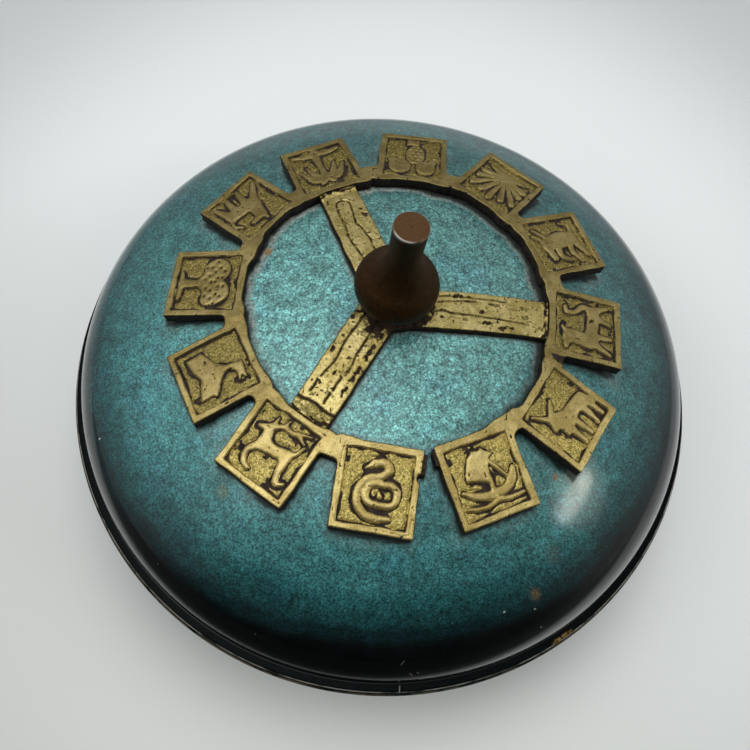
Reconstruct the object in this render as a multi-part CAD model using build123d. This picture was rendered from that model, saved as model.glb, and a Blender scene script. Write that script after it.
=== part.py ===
from build123d import *
import math
import os

# A round lidded dish in enamelled sheet metal. The lid carries a cast brass
# ring of twelve square tiles, a three-legged brass strap piece and a turned
# wooden knob. Origin: centre of the resting face. +Z is up and -Y is the front.

# Driving dimensions, in millimetres.
SEAM_HEIGHT = 44.0          # the parting line between bowl and lid
RIM_RADIUS = 122.5          # outer edge of the bowl's flange
LID_RIM_RADIUS = 121.5      # the lid's flange stops just short of it
WALL_RADIUS = 118.3         # widest part of both walls
SHEET = 1.2                 # enamelled sheet thickness
SEAM_GAP = 0.05             # each flange's share of the parting gap
FIT_GAP = 0.1               # between pieces that are brazed or glued together

LID_RISE = 49.3             # seam to the top of the dome
LID_SHOULDER = 21.2         # radius of the lid's rounded shoulder
LID_FLANGE = 1.9            # thickness of the lid's folded flange
BOWL_DROP = 41.0            # seam to the bottom of the bowl
BOWL_SHOULDER = 30.0
BOWL_FLANGE = 2.3

FOOT_RADIUS = 54.0          # middle of the foot ring's wall
FOOT_WALL = 4.0
FELT_THICKNESS = 1.0
FELT_WIDTH = 3.4

COLLAR_WALL = 1.0
COLLAR_BELOW_SEAM = 7.8
COLLAR_ABOVE_SEAM = 5.0
COLLAR_PLAY = 0.7           # radial room between the collar and the bowl's mouth

STRAP_WIDTH = 14.5
STRAP_THICKNESS = 3.0
STRAP_REACH = 60.0          # longer than needed, then trimmed by the tiles
# Each strap's direction in degrees and how far it runs beside the axis.
STRAPS = ((4.6, -3.6), (-117.7, -1.1), (116.2, 1.5))
HUB_RADIUS = 11.5

TILE_SIDE = 26.4            # width along the ring
TILE_THICKNESS = 4.6
TILE_FRAME = 2.1            # width of the raised frame on three sides
TILE_INNER_EXTRA = 1.4      # the frame is wider on the side facing the knob
TILE_FIELD_EXTRA = 1.1      # the sunk field reaches further on that side too
TILE_RECESS = 1.1           # depth of the sunk field
TILE_SLOPE = 12.2           # degrees, outer edge down
TILE_TOP = 44.1             # height of a tile's top centre over the seam
RING_RADIUS = 67.1          # ring centre to tile centre
RING_CENTRE = (1.7, 2.1)    # the casting was brazed on slightly off the axis
RING_START = -121.2         # degrees, direction of the first tile
WEB_LENGTH = 5.6            # of the web between neighbouring tiles, outwards
WEB_WIDTH = 6.6
WEB_DROP = 0.25             # web's top below the frames
# Each tile's own turn in degrees and its shifts outwards and along the ring,
# as a hand-made mould leaves them. The casting is open between the second
# and the third tile.
TILES = (
    ("stag", 1.0, -0.3, -1.4), ("snake", -2.5, -1.3, -0.4), ("ship", -3.0, 0.0, 0.7),
    ("ox", 1.5, 1.5, 0.6), ("wolf", -1.5, -0.1, -0.1), ("donkey", -4.0, 0.2, 0.2),
    ("sheaf", -3.5, 0.1, -1.3), ("grapes", 0.5, -0.9, -0.2), ("palm", -2.0, -1.1, 1.6),
    ("lion", -4.0, 1.0, 0.0), ("tree", 2.0, 0.7, 0.4), ("gate", 2.5, -0.6, -0.1),
)
OPEN_AFTER = "snake"

KNOB_HEIGHT = 41.6
KNOB_LEAN = 2.6             # degrees towards +X
KNOB_BULB_RADIUS = 14.0
KNOB_BULB_ARC = 8.0         # radius of the bulb's rounded side
KNOB_BULB_HEIGHT = 8.8
KNOB_BULB_SPAN = 52.0       # degrees of arc above and below the widest point
KNOB_BASE_RADIUS = 9.4
KNOB_NECK_RADIUS = 5.3
KNOB_NECK_HEIGHT = 29.0
KNOB_TOP_RADIUS = 5.4
KNOB_SUNK = 1.0             # cut off the leaning knob to level its base

SCREW_RADIUS = 2.0
SCREW_HEAD_RADIUS = 4.0
SCREW_HEAD_HEIGHT = 2.2
SCREW_IN_KNOB = 16.0
SLOT_WIDTH = 0.9
SLOT_DEPTH = 1.1
WASHER_RADIUS = 6.5
WASHER_THICKNESS = 0.8
WASHER_DROP = 0.2           # its rim touches the dome's underside first

# Worked out from the driving dimensions.
HUB_TOP = LID_RISE + FIT_GAP + STRAP_THICKNESS
WASHER_TOP = LID_RISE - SHEET - WASHER_DROP
SCREW_TIP = HUB_TOP + SCREW_IN_KNOB
TALL = 200.0                # longer than anything it cuts


def crown_radius(rise, shoulder, foot_height):
    """Radius of the crown arc that meets the shoulder arc smoothly."""
    across = WALL_RADIUS - shoulder
    drop = foot_height - rise
    return (across**2 + drop**2 - shoulder**2) / (-2 * shoulder - 2 * drop)


def wall_arcs(rise, shoulder, foot_height, offset):
    """Crown and shoulder arcs of a wall, moved outwards by offset."""
    crown = crown_radius(rise, shoulder, foot_height)
    crown_centre = rise - crown
    across = WALL_RADIUS - shoulder
    meet = math.degrees(math.atan2(foot_height - crown_centre, across))
    top = CenterArc((0, crown_centre), crown + offset, meet, 90 - meet)
    side = CenterArc((across, foot_height), shoulder + offset, 0, meet)
    return top, side


def spin(edges):
    """Turn a closed half outline, given as (radius, height), about Z."""
    return revolve(Plane.XZ * make_face(edges), Axis.Z, 360)


def shell(rise, shoulder, flange, rim):
    """A domed sheet wall with a folded flange, seam at height zero."""
    outer_top, outer_side = wall_arcs(rise, shoulder, flange, 0)
    inner_top, inner_side = wall_arcs(rise, shoulder, flange, -SHEET)
    fold = (flange - SEAM_GAP) / 2
    inner_wall = WALL_RADIUS - SHEET
    return spin([
        outer_top,
        outer_side,
        Line((WALL_RADIUS, flange), (rim - fold, flange)),
        ThreePointArc(
            (rim - fold, flange),
            (rim, flange - fold),
            (rim - fold, SEAM_GAP),
        ),
        Line((rim - fold, SEAM_GAP), (inner_wall, SEAM_GAP)),
        Line((inner_wall, SEAM_GAP), (inner_wall, flange)),
        inner_side,
        inner_top,
        Line((0, rise - SHEET), (0, rise)),
    ])


def filled(rise, shoulder, flange, offset):
    """The solid inside a wall's outer face, moved outwards by offset."""
    top, side = wall_arcs(rise, shoulder, flange, offset)
    return spin([
        top,
        side,
        Line((WALL_RADIUS + offset, flange), (WALL_RADIUS + offset, -TALL)),
        Line((WALL_RADIUS + offset, -TALL), (0, -TALL)),
        Line((0, -TALL), (0, rise + offset)),
    ])


def tube(radius, wall, bottom, top):
    """An upright ring, radius measured to the middle of its wall."""
    ring = Circle(radius + wall / 2) - Circle(radius - wall / 2)
    return Pos(0, 0, bottom) * extrude(ring, top - bottom)


def rod(radius, bottom, top):
    return Pos(0, 0, bottom) * extrude(Circle(radius), top - bottom)


def dome(offset):
    return filled(LID_RISE, LID_SHOULDER, LID_FLANGE, offset)


def screw_hole(top):
    return rod(SCREW_RADIUS + FIT_GAP, LID_RISE / 2, top)


def lid_shell():
    return shell(LID_RISE, LID_SHOULDER, LID_FLANGE, LID_RIM_RADIUS) - screw_hole(TALL)


def bowl_shell():
    return mirror(shell(BOWL_DROP, BOWL_SHOULDER, BOWL_FLANGE, RIM_RADIUS), Plane.XY)


def foot_ring():
    """Brass ring that follows the bowl's underside and ends on the felt."""
    bottom = FELT_THICKNESS - SEAM_HEIGHT
    wall = tube(FOOT_RADIUS, FOOT_WALL, bottom, bottom + BOWL_DROP / 2)
    bowl = filled(BOWL_DROP, BOWL_SHOULDER, BOWL_FLANGE, FIT_GAP)
    return wall - mirror(bowl, Plane.XY)


def foot_felt():
    return tube(FOOT_RADIUS, FELT_WIDTH, -SEAM_HEIGHT, FELT_THICKNESS - SEAM_HEIGHT)


def locating_collar():
    """Loose brass band that sits in the bowl's mouth and centres the lid."""
    outer = WALL_RADIUS - SHEET - COLLAR_PLAY
    middle = outer - COLLAR_WALL / 2
    return tube(middle, COLLAR_WALL, -COLLAR_BELOW_SEAM, COLLAR_ABOVE_SEAM)


def tile_place(direction, radius, along=0, turn=0):
    """Frame with its origin at the top centre of a tile of the ring."""
    centre = Pos(RING_CENTRE[0], RING_CENTRE[1], TILE_TOP)
    outwards = Rot(0, 0, direction) * Pos(radius, along, 0)
    return centre * outwards * Rot(0, TILE_SLOPE, 0) * Rot(0, 0, turn)


def block(length, width, height):
    """A box whose top face is centred on the origin."""
    return Pos(0, 0, -height / 2) * Box(length, width, height)


def tile_block(margin, height):
    """A tile's outer box, grown by margin all round its sides."""
    length = TILE_SIDE + TILE_INNER_EXTRA + 2 * margin
    return Pos(-TILE_INNER_EXTRA / 2, 0, 0) * block(length, TILE_SIDE + 2 * margin, height)


def tile_places():
    """Each tile's name, direction in degrees and frame."""
    step = 360 / len(TILES)
    for number, (name, turn, out, along) in enumerate(TILES):
        direction = RING_START + number * step
        yield name, direction, tile_place(direction, RING_RADIUS + out, along, turn)


def tile_ring():
    """The whole casting: framed tiles joined by webs, open at one place."""
    field = TILE_SIDE - 2 * TILE_FRAME
    step = 360 / len(TILES)
    inner_side = RING_RADIUS - TILE_SIDE / 2 - TILE_INNER_EXTRA
    web_middle = math.hypot(inner_side, TILE_SIDE / 2) + WEB_LENGTH / 2
    casting = []
    for name, direction, place in tile_places():
        sunk = block(field + TILE_FIELD_EXTRA, field, TILE_RECESS)
        tile = tile_block(0, TILE_THICKNESS) - Pos(-TILE_FIELD_EXTRA / 2, 0, 0) * sunk
        casting.append(place * tile)
        if name != OPEN_AFTER:
            web = block(WEB_LENGTH, WEB_WIDTH, TILE_THICKNESS - WEB_DROP)
            slope = math.tan(math.radians(TILE_SLOPE))
            lift = (RING_RADIUS - web_middle) * slope - WEB_DROP
            middle = tile_place(direction + step / 2, web_middle)
            casting.append(Pos(0, 0, lift) * middle * web)
    ring = casting[0].fuse(*casting[1:])
    return ring - dome(FIT_GAP)


def spoke_spider():
    """Hub and three straps that hug the dome and end against the tiles."""
    layer = dome(FIT_GAP + STRAP_THICKNESS) - dome(FIT_GAP)
    plan = rod(HUB_RADIUS, 0, TALL)
    strap = Pos(STRAP_REACH / 2, 0, TALL / 2) * Box(STRAP_REACH, STRAP_WIDTH, TALL)
    for angle, beside in STRAPS:
        plan += Rot(0, 0, angle) * Pos(0, beside, 0) * strap
    spider = layer & plan
    for _, _, place in tile_places():
        spider -= place * Pos(0, 0, TALL / 2) * tile_block(FIT_GAP, TALL)
    return spider - screw_hole(TALL)


def knob():
    """Turned wooden knob, leaning a little, with its base cut level."""
    bulb_centre = KNOB_BULB_RADIUS - KNOB_BULB_ARC
    bulb = CenterArc(
        (bulb_centre, KNOB_BULB_HEIGHT), KNOB_BULB_ARC,
        -KNOB_BULB_SPAN, 2 * KNOB_BULB_SPAN,
    )
    low = bulb @ 0
    high = bulb @ 1
    neck = (KNOB_NECK_RADIUS, KNOB_NECK_HEIGHT)
    top = (KNOB_TOP_RADIUS, KNOB_HEIGHT)
    throat = Spline(high, neck, top, tangents=(bulb % 1, (0.12, 1)))
    blank = spin([
        Line((0, -KNOB_SUNK), (KNOB_BASE_RADIUS, -KNOB_SUNK)),
        Line((KNOB_BASE_RADIUS, -KNOB_SUNK), (low.X, low.Y)),
        bulb,
        throat,
        Line(top, (0, KNOB_HEIGHT)),
        Line((0, KNOB_HEIGHT), (0, -KNOB_SUNK)),
    ])
    leaning = Rot(0, KNOB_LEAN, 0) * blank
    level = leaning - Pos(0, 0, -TALL / 2) * Box(TALL, TALL, TALL)
    standing = Pos(0, 0, HUB_TOP + FIT_GAP) * level
    return standing - screw_hole(SCREW_TIP + SLOT_DEPTH)


def screw_washer():
    ring = Circle(WASHER_RADIUS) - Circle(SCREW_RADIUS + FIT_GAP)
    return Pos(0, 0, WASHER_TOP - WASHER_THICKNESS) * extrude(ring, WASHER_THICKNESS)


def knob_screw():
    """Slotted screw that comes up through the lid into the knob."""
    seat = WASHER_TOP - WASHER_THICKNESS - FIT_GAP
    bottom = seat - SCREW_HEAD_HEIGHT
    head = rod(SCREW_HEAD_RADIUS, bottom, seat)
    shank = rod(SCREW_RADIUS, seat, SCREW_TIP)
    slot = Box(2 * SCREW_HEAD_RADIUS, SLOT_WIDTH, 2 * SLOT_DEPTH)
    return head + shank - Pos(0, 0, bottom) * slot


PIECES = (
    bowl_shell, foot_ring, foot_felt, locating_collar, lid_shell,
    tile_ring, spoke_spider, knob, screw_washer, knob_screw,
)

os.makedirs("parts", exist_ok=True)
for piece in PIECES:
    name = piece.__name__
    raised = Pos(0, 0, SEAM_HEIGHT) * piece()
    export_step(raised, f"parts/{name}.step")
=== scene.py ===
"""Looks for the lidded enamel dish: teal lid, cast tile ring, engraved straps, wooden knob."""

import math

import bmesh
import bpy
import numpy as np
from mathutils import Matrix, Vector


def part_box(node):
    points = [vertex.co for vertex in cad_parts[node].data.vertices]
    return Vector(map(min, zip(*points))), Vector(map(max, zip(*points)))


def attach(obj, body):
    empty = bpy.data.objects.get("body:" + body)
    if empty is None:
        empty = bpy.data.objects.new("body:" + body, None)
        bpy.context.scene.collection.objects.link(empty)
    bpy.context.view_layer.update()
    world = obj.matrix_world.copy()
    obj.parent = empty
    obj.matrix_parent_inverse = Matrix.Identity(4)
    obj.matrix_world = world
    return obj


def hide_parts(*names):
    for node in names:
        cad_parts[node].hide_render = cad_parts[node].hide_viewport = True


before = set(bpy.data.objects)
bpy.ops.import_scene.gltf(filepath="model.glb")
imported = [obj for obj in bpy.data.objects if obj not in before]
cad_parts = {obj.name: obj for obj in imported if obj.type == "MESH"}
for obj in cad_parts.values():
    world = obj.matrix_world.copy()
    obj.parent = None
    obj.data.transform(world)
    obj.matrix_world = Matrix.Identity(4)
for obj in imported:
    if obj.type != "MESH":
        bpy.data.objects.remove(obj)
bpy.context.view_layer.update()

# Everything below is in millimetres until a mesh is made.
MM = 0.001


def low(node):
    return np.array(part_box(node)[0]) / MM


def high(node):
    return np.array(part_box(node)[1]) / MM


# Heights and radii taken from the frame.
SEAM = (high("bowl_shell")[2] + low("lid_shell")[2]) / 2
SEAM_GAP = low("lid_shell")[2] - SEAM
LID_RIM, BOWL_RIM = high("lid_shell")[0], high("bowl_shell")[0]
LID_RISE = high("lid_shell")[2] - SEAM
BOWL_DROP = SEAM - low("bowl_shell")[2]
KNOB_BASE = low("knob")[2]
KNOB_RISE = high("knob")[2] - KNOB_BASE

# The walls' curves, as the solids have them.
WALL_RADIUS = 118.3
SHEET = 1.2
SCREW_HOLE = 2.1
LID_SHOULDER, LID_FLANGE = 21.2, 1.9
BOWL_SHOULDER, BOWL_FLANGE = 30.0, 2.3

# The casting's layout, as the solid has it.
TILE_SIDE = 26.4
TILE_FRAME = 2.1
TILE_INNER_EXTRA = 1.4
TILE_FIELD_EXTRA = 1.1
TILE_THICKNESS = 4.6
TILE_SLOPE = math.radians(12.2)
TILE_TOP = 44.1 + SEAM
RING_RADIUS = 67.1
RING_CENTRE = (1.7, 2.1)
RING_START = -121.2         # direction of the first tile, in degrees
WEB_LENGTH, WEB_WIDTH = 5.6, 6.6
# Each tile's own turn in degrees, and its shifts outwards and along the ring.
TILES = (
    (1.0, -0.3, -1.4), (-2.5, -1.3, -0.4), (-3.0, 0.0, 0.7), (1.5, 1.5, 0.6), (-1.5, -0.1, -0.1),
    (-4.0, 0.2, 0.2), (-3.5, 0.1, -1.3), (0.5, -0.9, -0.2), (-2.0, -1.1, 1.6), (-4.0, 1.0, 0.0),
    (2.0, 0.7, 0.4), (2.5, -0.6, -0.1),
)
TILE_NUMBERS = range(len(TILES))
TILE_PITCH = 30             # degrees from one tile to the next
OPEN_AFTER = 1              # no web between this tile and the next

# Direction in degrees and sideways shift.
STRAPS = ((4.6, -3.6), (-117.7, -1.1), (116.2, 1.5))
STRAP_WIDTH = 14.5
STRAP_THICKNESS = 3.0
HUB_RADIUS = 11.5
FIT_GAP = 0.1               # between the lid and the brass on it
FAR = 1e3                   # more than any distance on the dish


# ---------------------------------------------------------------- fields

NOISE_CELLS = 512           # after these, the random field repeats


def bumps(x, y, size, seed):
    """Smooth random field from -1 to 1, with bumps about size across."""
    table = np.random.default_rng(seed).uniform(-1, 1, (NOISE_CELLS, NOISE_CELLS))
    gx, gy = x / size, y / size
    ix, iy = np.floor(gx).astype(int), np.floor(gy).astype(int)
    fx, fy = gx - ix, gy - iy
    fx, fy = fx * fx * (3 - 2 * fx), fy * fy * (3 - 2 * fy)
    ix, iy = ix % NOISE_CELLS, iy % NOISE_CELLS
    jx, jy = (ix + 1) % NOISE_CELLS, (iy + 1) % NOISE_CELLS
    near = table[ix, iy] * (1 - fx) + table[jx, iy] * fx
    far = table[ix, jy] * (1 - fx) + table[jx, jy] * fx
    return near * (1 - fy) + far * fy


def ramp(value, start, end):
    """0 before start, 1 after end and smooth between them."""
    t = np.clip((value - start) / (end - start), 0, 1)
    return t * t * (3 - 2 * t)


def fall(value, start, end):
    """1 before start, 0 after end and smooth between them."""
    return 1 - ramp(value, start, end)


def blend_min(a, b, reach):
    """The lower of two distances, rounded where they meet."""
    mix = np.maximum(reach - np.abs(a - b), 0) / reach
    return np.minimum(a, b) - mix * mix * reach / 4


def box_distance(x, y, half_x, half_y):
    """Distance to a rectangle about the origin, negative inside it."""
    qx, qy = np.abs(x) - half_x, np.abs(y) - half_y
    outside = np.hypot(np.maximum(qx, 0), np.maximum(qy, 0))
    return outside + np.minimum(np.maximum(qx, qy), 0)


def chain(x, y, points):
    """Distance to round strokes joining points given as (x, y, radius)."""
    nearest = np.full(x.shape, FAR)
    for (ax, ay, ar), (bx, by, br) in zip(points, points[1:]):
        dx, dy = bx - ax, by - ay
        along = ((x - ax) * dx + (y - ay) * dy) / (dx * dx + dy * dy)
        along = np.clip(along, 0, 1)
        away = np.hypot(x - ax - along * dx, y - ay - along * dy)
        nearest = np.minimum(nearest, away - ar - along * (br - ar))
    return nearest


def eased(points, parts=5):
    """The same chain with its corners rounded by a Catmull-Rom curve."""
    p = np.array([points[0], *points, points[-1]], float)
    made = []
    for a, b, c, d in zip(p, p[1:], p[2:], p[3:]):
        for t in np.arange(parts) / parts:
            bend = (2 * a - 5 * b + 4 * c - d) * t * t + (3 * b - a - 3 * c + d) * t**3
            made.append(b + ((c - a) * t + bend) / 2)
    made.append(p[-1])
    return made


def curve(x, y, *points):
    return chain(x, y, eased(points))


def patch(x, y, *points):
    """Distance to a filled outline, negative inside it."""
    nearest = np.full(x.shape, FAR)
    inside = np.zeros(x.shape, bool)
    for (ax, ay), (bx, by) in zip(points, points[1:] + points[:1]):
        dx, dy = bx - ax, by - ay
        along = np.clip(((x - ax) * dx + (y - ay) * dy) / (dx * dx + dy * dy), 0, 1)
        nearest = np.minimum(nearest, np.hypot(x - ax - along * dx, y - ay - along * dy))
        if ay != by:
            crossing = (ay > y) != (by > y)
            inside ^= crossing & (x < ax + (y - ay) * dx / dy)
    return np.where(inside, -nearest, nearest)


def disc(x, y, cx, cy, radius):
    return np.hypot(x - cx, y - cy) - radius


def merged(*distances):
    """Union of distances with small fillets between them."""
    joined = distances[0]
    for distance in distances[1:]:
        joined = blend_min(joined, distance, 0.8)
    return joined


# ------------------------------------------------ the twelve relief figures
# Each gives the distance to its outline in a tile's own plane: x to the
# right and y towards the knob, both from the tile's centre. FIGURES has them
# in the order of TILES.


def stag(x, y):
    body = curve(x, y, (-3.6, 0.2, 2.3), (0.6, 0.3, 1.9), (5.0, 1.2, 2.1))
    neck = chain(x, y, ((-3.8, 1.0, 1.9), (-4.6, 5.4, 1.5), (-8.2, 4.3, 0.6)))
    ear = chain(x, y, ((-4.2, 6.2, 0.9), (-3.9, 9.6, 0.3)))
    antler = curve(
        x, y, (-3.4, 6.4, 0.9), (-0.8, 8.2, 0.9), (2.4, 8.0, 0.9), (5.3, 9.2, 0.8), (8.2, 10.3, 0.3),
    )
    tines = np.minimum(
        chain(x, y, ((-1.0, 8.2, 0.7), (-0.2, 10.9, 0.25))),
        chain(x, y, ((4.2, 8.6, 0.7), (7.6, 7.2, 0.3))),
    )
    tail = curve(x, y, (5.6, 2.0, 1.0), (7.3, 3.2, 0.9), (8.3, 6.2, 0.4))
    front = curve(x, y, (-4.2, -0.8, 1.6), (-6.6, -4.1, 1.0), (-5.6, -7.4, 1.0), (-2.8, -8.8, 0.8))
    rear = curve(x, y, (5.3, -0.2, 1.8), (5.9, -4.6, 1.1), (7.2, -7.6, 1.1), (9.3, -6.6, 0.6))
    return merged(body, neck, ear, antler, tines, tail, front, rear)


def snake(x, y):
    body = curve(
        x, y, (-1.6, 8.0, 1.0), (1.4, 8.7, 1.4), (3.3, 6.8, 1.3), (1.2, 4.6, 1.2), (-3.2, 3.0, 1.3),
        (-5.6, -0.2, 1.3), (-5.5, -4.2, 1.3), (-3.0, -7.4, 1.3), (0.8, -8.6, 1.3), (5.0, -8.2, 0.8),
    )
    head = chain(x, y, ((-1.4, 8.0, 1.2), (-4.0, 6.4, 0.4)))
    coil = np.abs(box_distance(x - 1.8, y + 1.2, 2.0, 0.3) - 2.9) - 1.15
    eye = chain(x, y, ((0.9, -0.6, 0.5), (1.2, -1.6, 0.9)))
    return merged(body, head, coil, eye)


def ship(x, y):
    sail = patch(
        x, y, (-7.0, 0.8), (-6.2, 3.6), (-4.4, 7.4), (-2.0, 9.6), (0.0, 8.7), (1.2, 9.6), (2.0, 8.4),
        (4.6, 7.0), (1.8, 5.6), (0.9, -2.2), (-2.6, -0.6),
    )
    mast = chain(x, y, ((0.6, 0.0, 0.8), (0.6, -4.6, 0.7)))
    stay = chain(x, y, ((1.8, 5.4, 0.7), (6.6, -1.8, 0.6)))
    hull = curve(
        x, y, (-9.2, -2.0, 0.7), (-5.4, -4.2, 1.2), (0.0, -5.4, 1.6), (4.8, -4.6, 1.5), (7.6, -2.4, 1.5),
        (9.0, 0.6, 0.8),
    )
    sea = curve(
        x, y, (-9.6, -7.2, 0.6), (-4.0, -8.3, 0.7), (1.0, -7.4, 0.7), (5.0, -8.0, 0.8), (9.6, -7.6, 0.6),
    )
    return np.minimum(merged(sail, mast, stay, hull), sea)


def four_legs(x, y, hips, feet, thick=1.4):
    """Distance to legs from hips to feet, each given as (x, y)."""
    return np.minimum.reduce([chain(x, y, ((*hip, thick), (*foot, 0.85))) for hip, foot in zip(hips, feet)])


def ox(x, y):
    body = curve(x, y, (-1.6, -0.8, 2.9), (3.0, -0.4, 2.5), (7.6, -0.9, 2.5))
    head = chain(x, y, ((-1.8, 1.2, 2.4), (-4.6, 3.4, 1.9), (-6.4, 0.8, 0.9)))
    horns = np.minimum(
        curve(x, y, (-5.2, 4.2, 1.1), (-6.6, 6.4, 0.9), (-8.3, 9.4, 0.4)),
        curve(x, y, (-3.6, 4.6, 1.1), (-1.6, 6.0, 0.9), (0.6, 7.6, 0.5)),
    )
    dewlap = chain(x, y, ((-4.2, 1.0, 1.2), (-4.6, -3.2, 0.8)))
    legs = four_legs(
        x, y, ((-2.6, -2.4), (0.4, -2.4), (6.2, -2.4), (8.6, -2.0)),
        ((-3.0, -9.6), (0.8, -9.6), (5.4, -9.6), (9.0, -9.4)),
    )
    tail = curve(x, y, (9.4, 0.6, 0.5), (10.4, -2.0, 0.4), (10.4, -5.4, 0.4))
    return merged(body, head, horns, dewlap, legs, tail)


def wolf(x, y):
    body = curve(x, y, (-4.8, -1.4, 2.9), (0.6, -2.2, 2.3), (6.2, -2.6, 2.4))
    neck = chain(x, y, ((-5.4, -0.6, 2.8), (-4.6, 6.0, 2.8)))
    snout = chain(x, y, ((-5.0, 7.4, 1.7), (-8.8, 7.8, 0.9)))
    ear = chain(x, y, ((-3.0, 8.0, 1.0), (-1.6, 9.4, 0.5)))
    tail = curve(x, y, (7.0, -2.0, 1.1), (7.6, 1.6, 1.1), (5.0, 4.6, 1.0), (4.4, 7.6, 1.0), (6.6, 8.4, 0.7))
    legs = four_legs(
        x, y, ((-6.0, -3.0), (-3.0, -3.2), (4.6, -3.8), (7.4, -3.4)),
        ((-8.8, -8.8), (-2.6, -9.2), (2.8, -9.0), (9.4, -7.8)),
    )
    return merged(body, neck, snout, ear, tail, legs)


def donkey(x, y):
    body = curve(x, y, (0.6, 5.0, 2.6), (1.6, 0.0, 3.5), (1.8, -5.2, 3.0))
    head = chain(x, y, ((-0.2, 6.2, 2.0), (-6.0, 5.4, 1.2)))
    ears = np.minimum(
        chain(x, y, ((1.8, 7.0, 1.0), (4.8, 10.2, 0.6))),
        chain(x, y, ((3.4, 5.0, 0.9), (7.4, 9.0, 0.7))),
    )
    legs = np.minimum.reduce([
        curve(x, y, (-1.0, 1.6, 1.2), (-5.0, 2.4, 1.1), (-7.4, -0.6, 0.9)),
        curve(x, y, (-0.2, -4.0, 1.4), (-4.4, -3.4, 1.1), (-8.4, -5.2, 0.9)),
        curve(x, y, (1.0, -6.4, 1.5), (-3.0, -7.8, 1.2), (-6.6, -9.2, 0.8)),
    ])
    tail = curve(x, y, (3.8, -6.6, 0.8), (7.0, -7.0, 0.7), (8.6, -3.8, 0.5))
    return merged(body, head, ears, legs, tail)


def sheaf(x, y):
    root = (0.0, -5.0)
    rays = np.full(x.shape, FAR)
    for number, tip in enumerate(np.radians(np.linspace(168, 14, 9))):
        length = min(14.2 - 1.2 * (number % 2), 9.0 / max(abs(math.cos(tip)), 0.1))
        end = (root[0] + length * math.cos(tip), root[1] + length * math.sin(tip), 1.35)
        rays = np.minimum(rays, chain(x, y, ((*root, 0.5), end)))
    mound = patch(x, y, (-9.0, -7.6), (-3.8, -4.8), (0.0, -1.4), (4.0, -4.8), (9.6, -7.8))
    return np.minimum(rays, mound)


def grapes(x, y):
    fruit = disc(x / 0.66, y, -0.9 / 0.66, -1.4, 5.6) * 0.66
    for row, count in enumerate((2, 3, 2, 3, 2)):
        for place in range(count):
            across = -0.9 + (place - (count - 1) / 2) * 2.2
            fruit = np.maximum(fruit, -disc(x, y, across, 2.2 - 1.9 * row, 0.32))
    leaves = merged(
        disc(x, y, -5.0, 6.2, 3.9), disc(x, y, 5.0, 5.8, 4.3), disc(x, y, -7.4, 2.4, 1.6),
        disc(x, y, 8.0, 2.2, 1.6),
    )
    leaves = np.maximum(leaves, -chain(x, y, ((0.0, 10.6, 0.5), (-0.2, 5.2, 0.5))))
    foot = box_distance(x - 0.2, y + 8.8, 2.4, 1.6)
    return np.minimum(np.minimum(fruit, leaves), foot)


def palm(x, y):
    trunk = curve(x, y, (0.4, -9.0, 1.9), (0.6, -3.0, 1.2), (0.4, 3.4, 1.2))
    fronds = np.full(x.shape, FAR)
    for reach, rise, fall in ((8.6, 4.4, 0.2), (6.8, 7.4, 5.6), (5.4, 2.0, -1.2), (2.6, 8.4, 9.6)):
        for side in (-1, 1):
            leaf = curve(
                x, y, (0.4, 5.0, 1.2), (0.4 + side * reach * 0.55, 4.2 + rise * 0.42, 1.5),
                (0.4 + side * reach, fall, 0.5),
            )
            fronds = np.minimum(fronds, leaf)
    ground = curve(
        x, y, (-8.8, -8.6, 0.9), (-3.0, -7.8, 1.3), (0.2, -8.4, 1.4), (4.0, -7.8, 1.3), (9.0, -8.8, 0.9),
    )
    return merged(trunk, fronds, ground)


def lion(x, y):
    body = curve(x, y, (-1.8, 0.2, 3.1), (2.6, -0.6, 2.6), (7.2, -1.2, 2.7))
    neck = chain(x, y, ((-1.6, 1.0, 2.8), (-0.4, 6.0, 2.2)))
    muzzle = chain(x, y, ((-0.2, 7.0, 1.7), (4.6, 7.4, 0.9)))
    ear = chain(x, y, ((-0.8, 7.8, 0.9), (-0.6, 10.2, 0.4)))
    legs = four_legs(
        x, y, ((-3.4, -1.0), (-0.6, -2.4), (4.4, -2.8), (8.0, -2.4)),
        ((-9.2, -7.4), (-2.0, -8.8), (3.4, -8.8), (9.0, -8.8)), 1.6,
    )
    tail = curve(x, y, (9.0, 0.2, 0.7), (10.2, 3.2, 0.6), (8.8, 5.8, 0.6))
    return merged(body, neck, muzzle, ear, legs, tail)


def tree(x, y):
    leaves = merged(
        disc(x, y, -5.0, 3.6, 4.9), disc(x, y, 3.8, 4.2, 5.0), disc(x, y, -0.4, 1.0, 4.0),
        disc(x, y, 6.6, 1.6, 2.6),
    )
    for number in range(22):
        turn = number * 2.4
        spread = 1.45 * math.sqrt(number)
        dot = disc(x, y, -0.5 + 1.35 * spread * math.cos(turn), 3.4 + 0.72 * spread * math.sin(turn), 0.36)
        leaves = np.maximum(leaves, -dot)
    trunk = merged(
        chain(x, y, ((0.2, 0.0, 1.3), (0.0, -8.2, 1.9))),
        chain(x, y, ((0.0, -9.0, 1.3), (-4.6, -9.6, 0.6))),
        chain(x, y, ((0.0, -9.0, 1.3), (6.4, -9.6, 0.6))),
    )
    return merged(leaves, trunk)


def tent(x, y):
    canvas = patch(
        x, y, (-8.2, -7.9), (-8.6, -2.0), (-5.6, -0.4), (-2.4, 1.6), (-0.6, 3.6), (1.4, 3.6), (3.4, 1.4),
        (6.0, -0.6), (8.6, -2.4), (7.6, -3.6), (8.0, -8.1), (3.6, -7.0), (0.4, -5.4), (-2.8, -7.0),
    )
    pole = chain(x, y, ((0.4, 3.0, 1.1), (0.8, 7.2, 0.8)))
    flag = patch(x, y, (0.2, 9.8), (6.8, 9.4), (5.4, 7.8), (6.8, 6.2), (3.4, 6.4), (2.2, 5.4), (0.4, 6.2))
    return merged(canvas, pole, flag)


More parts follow.
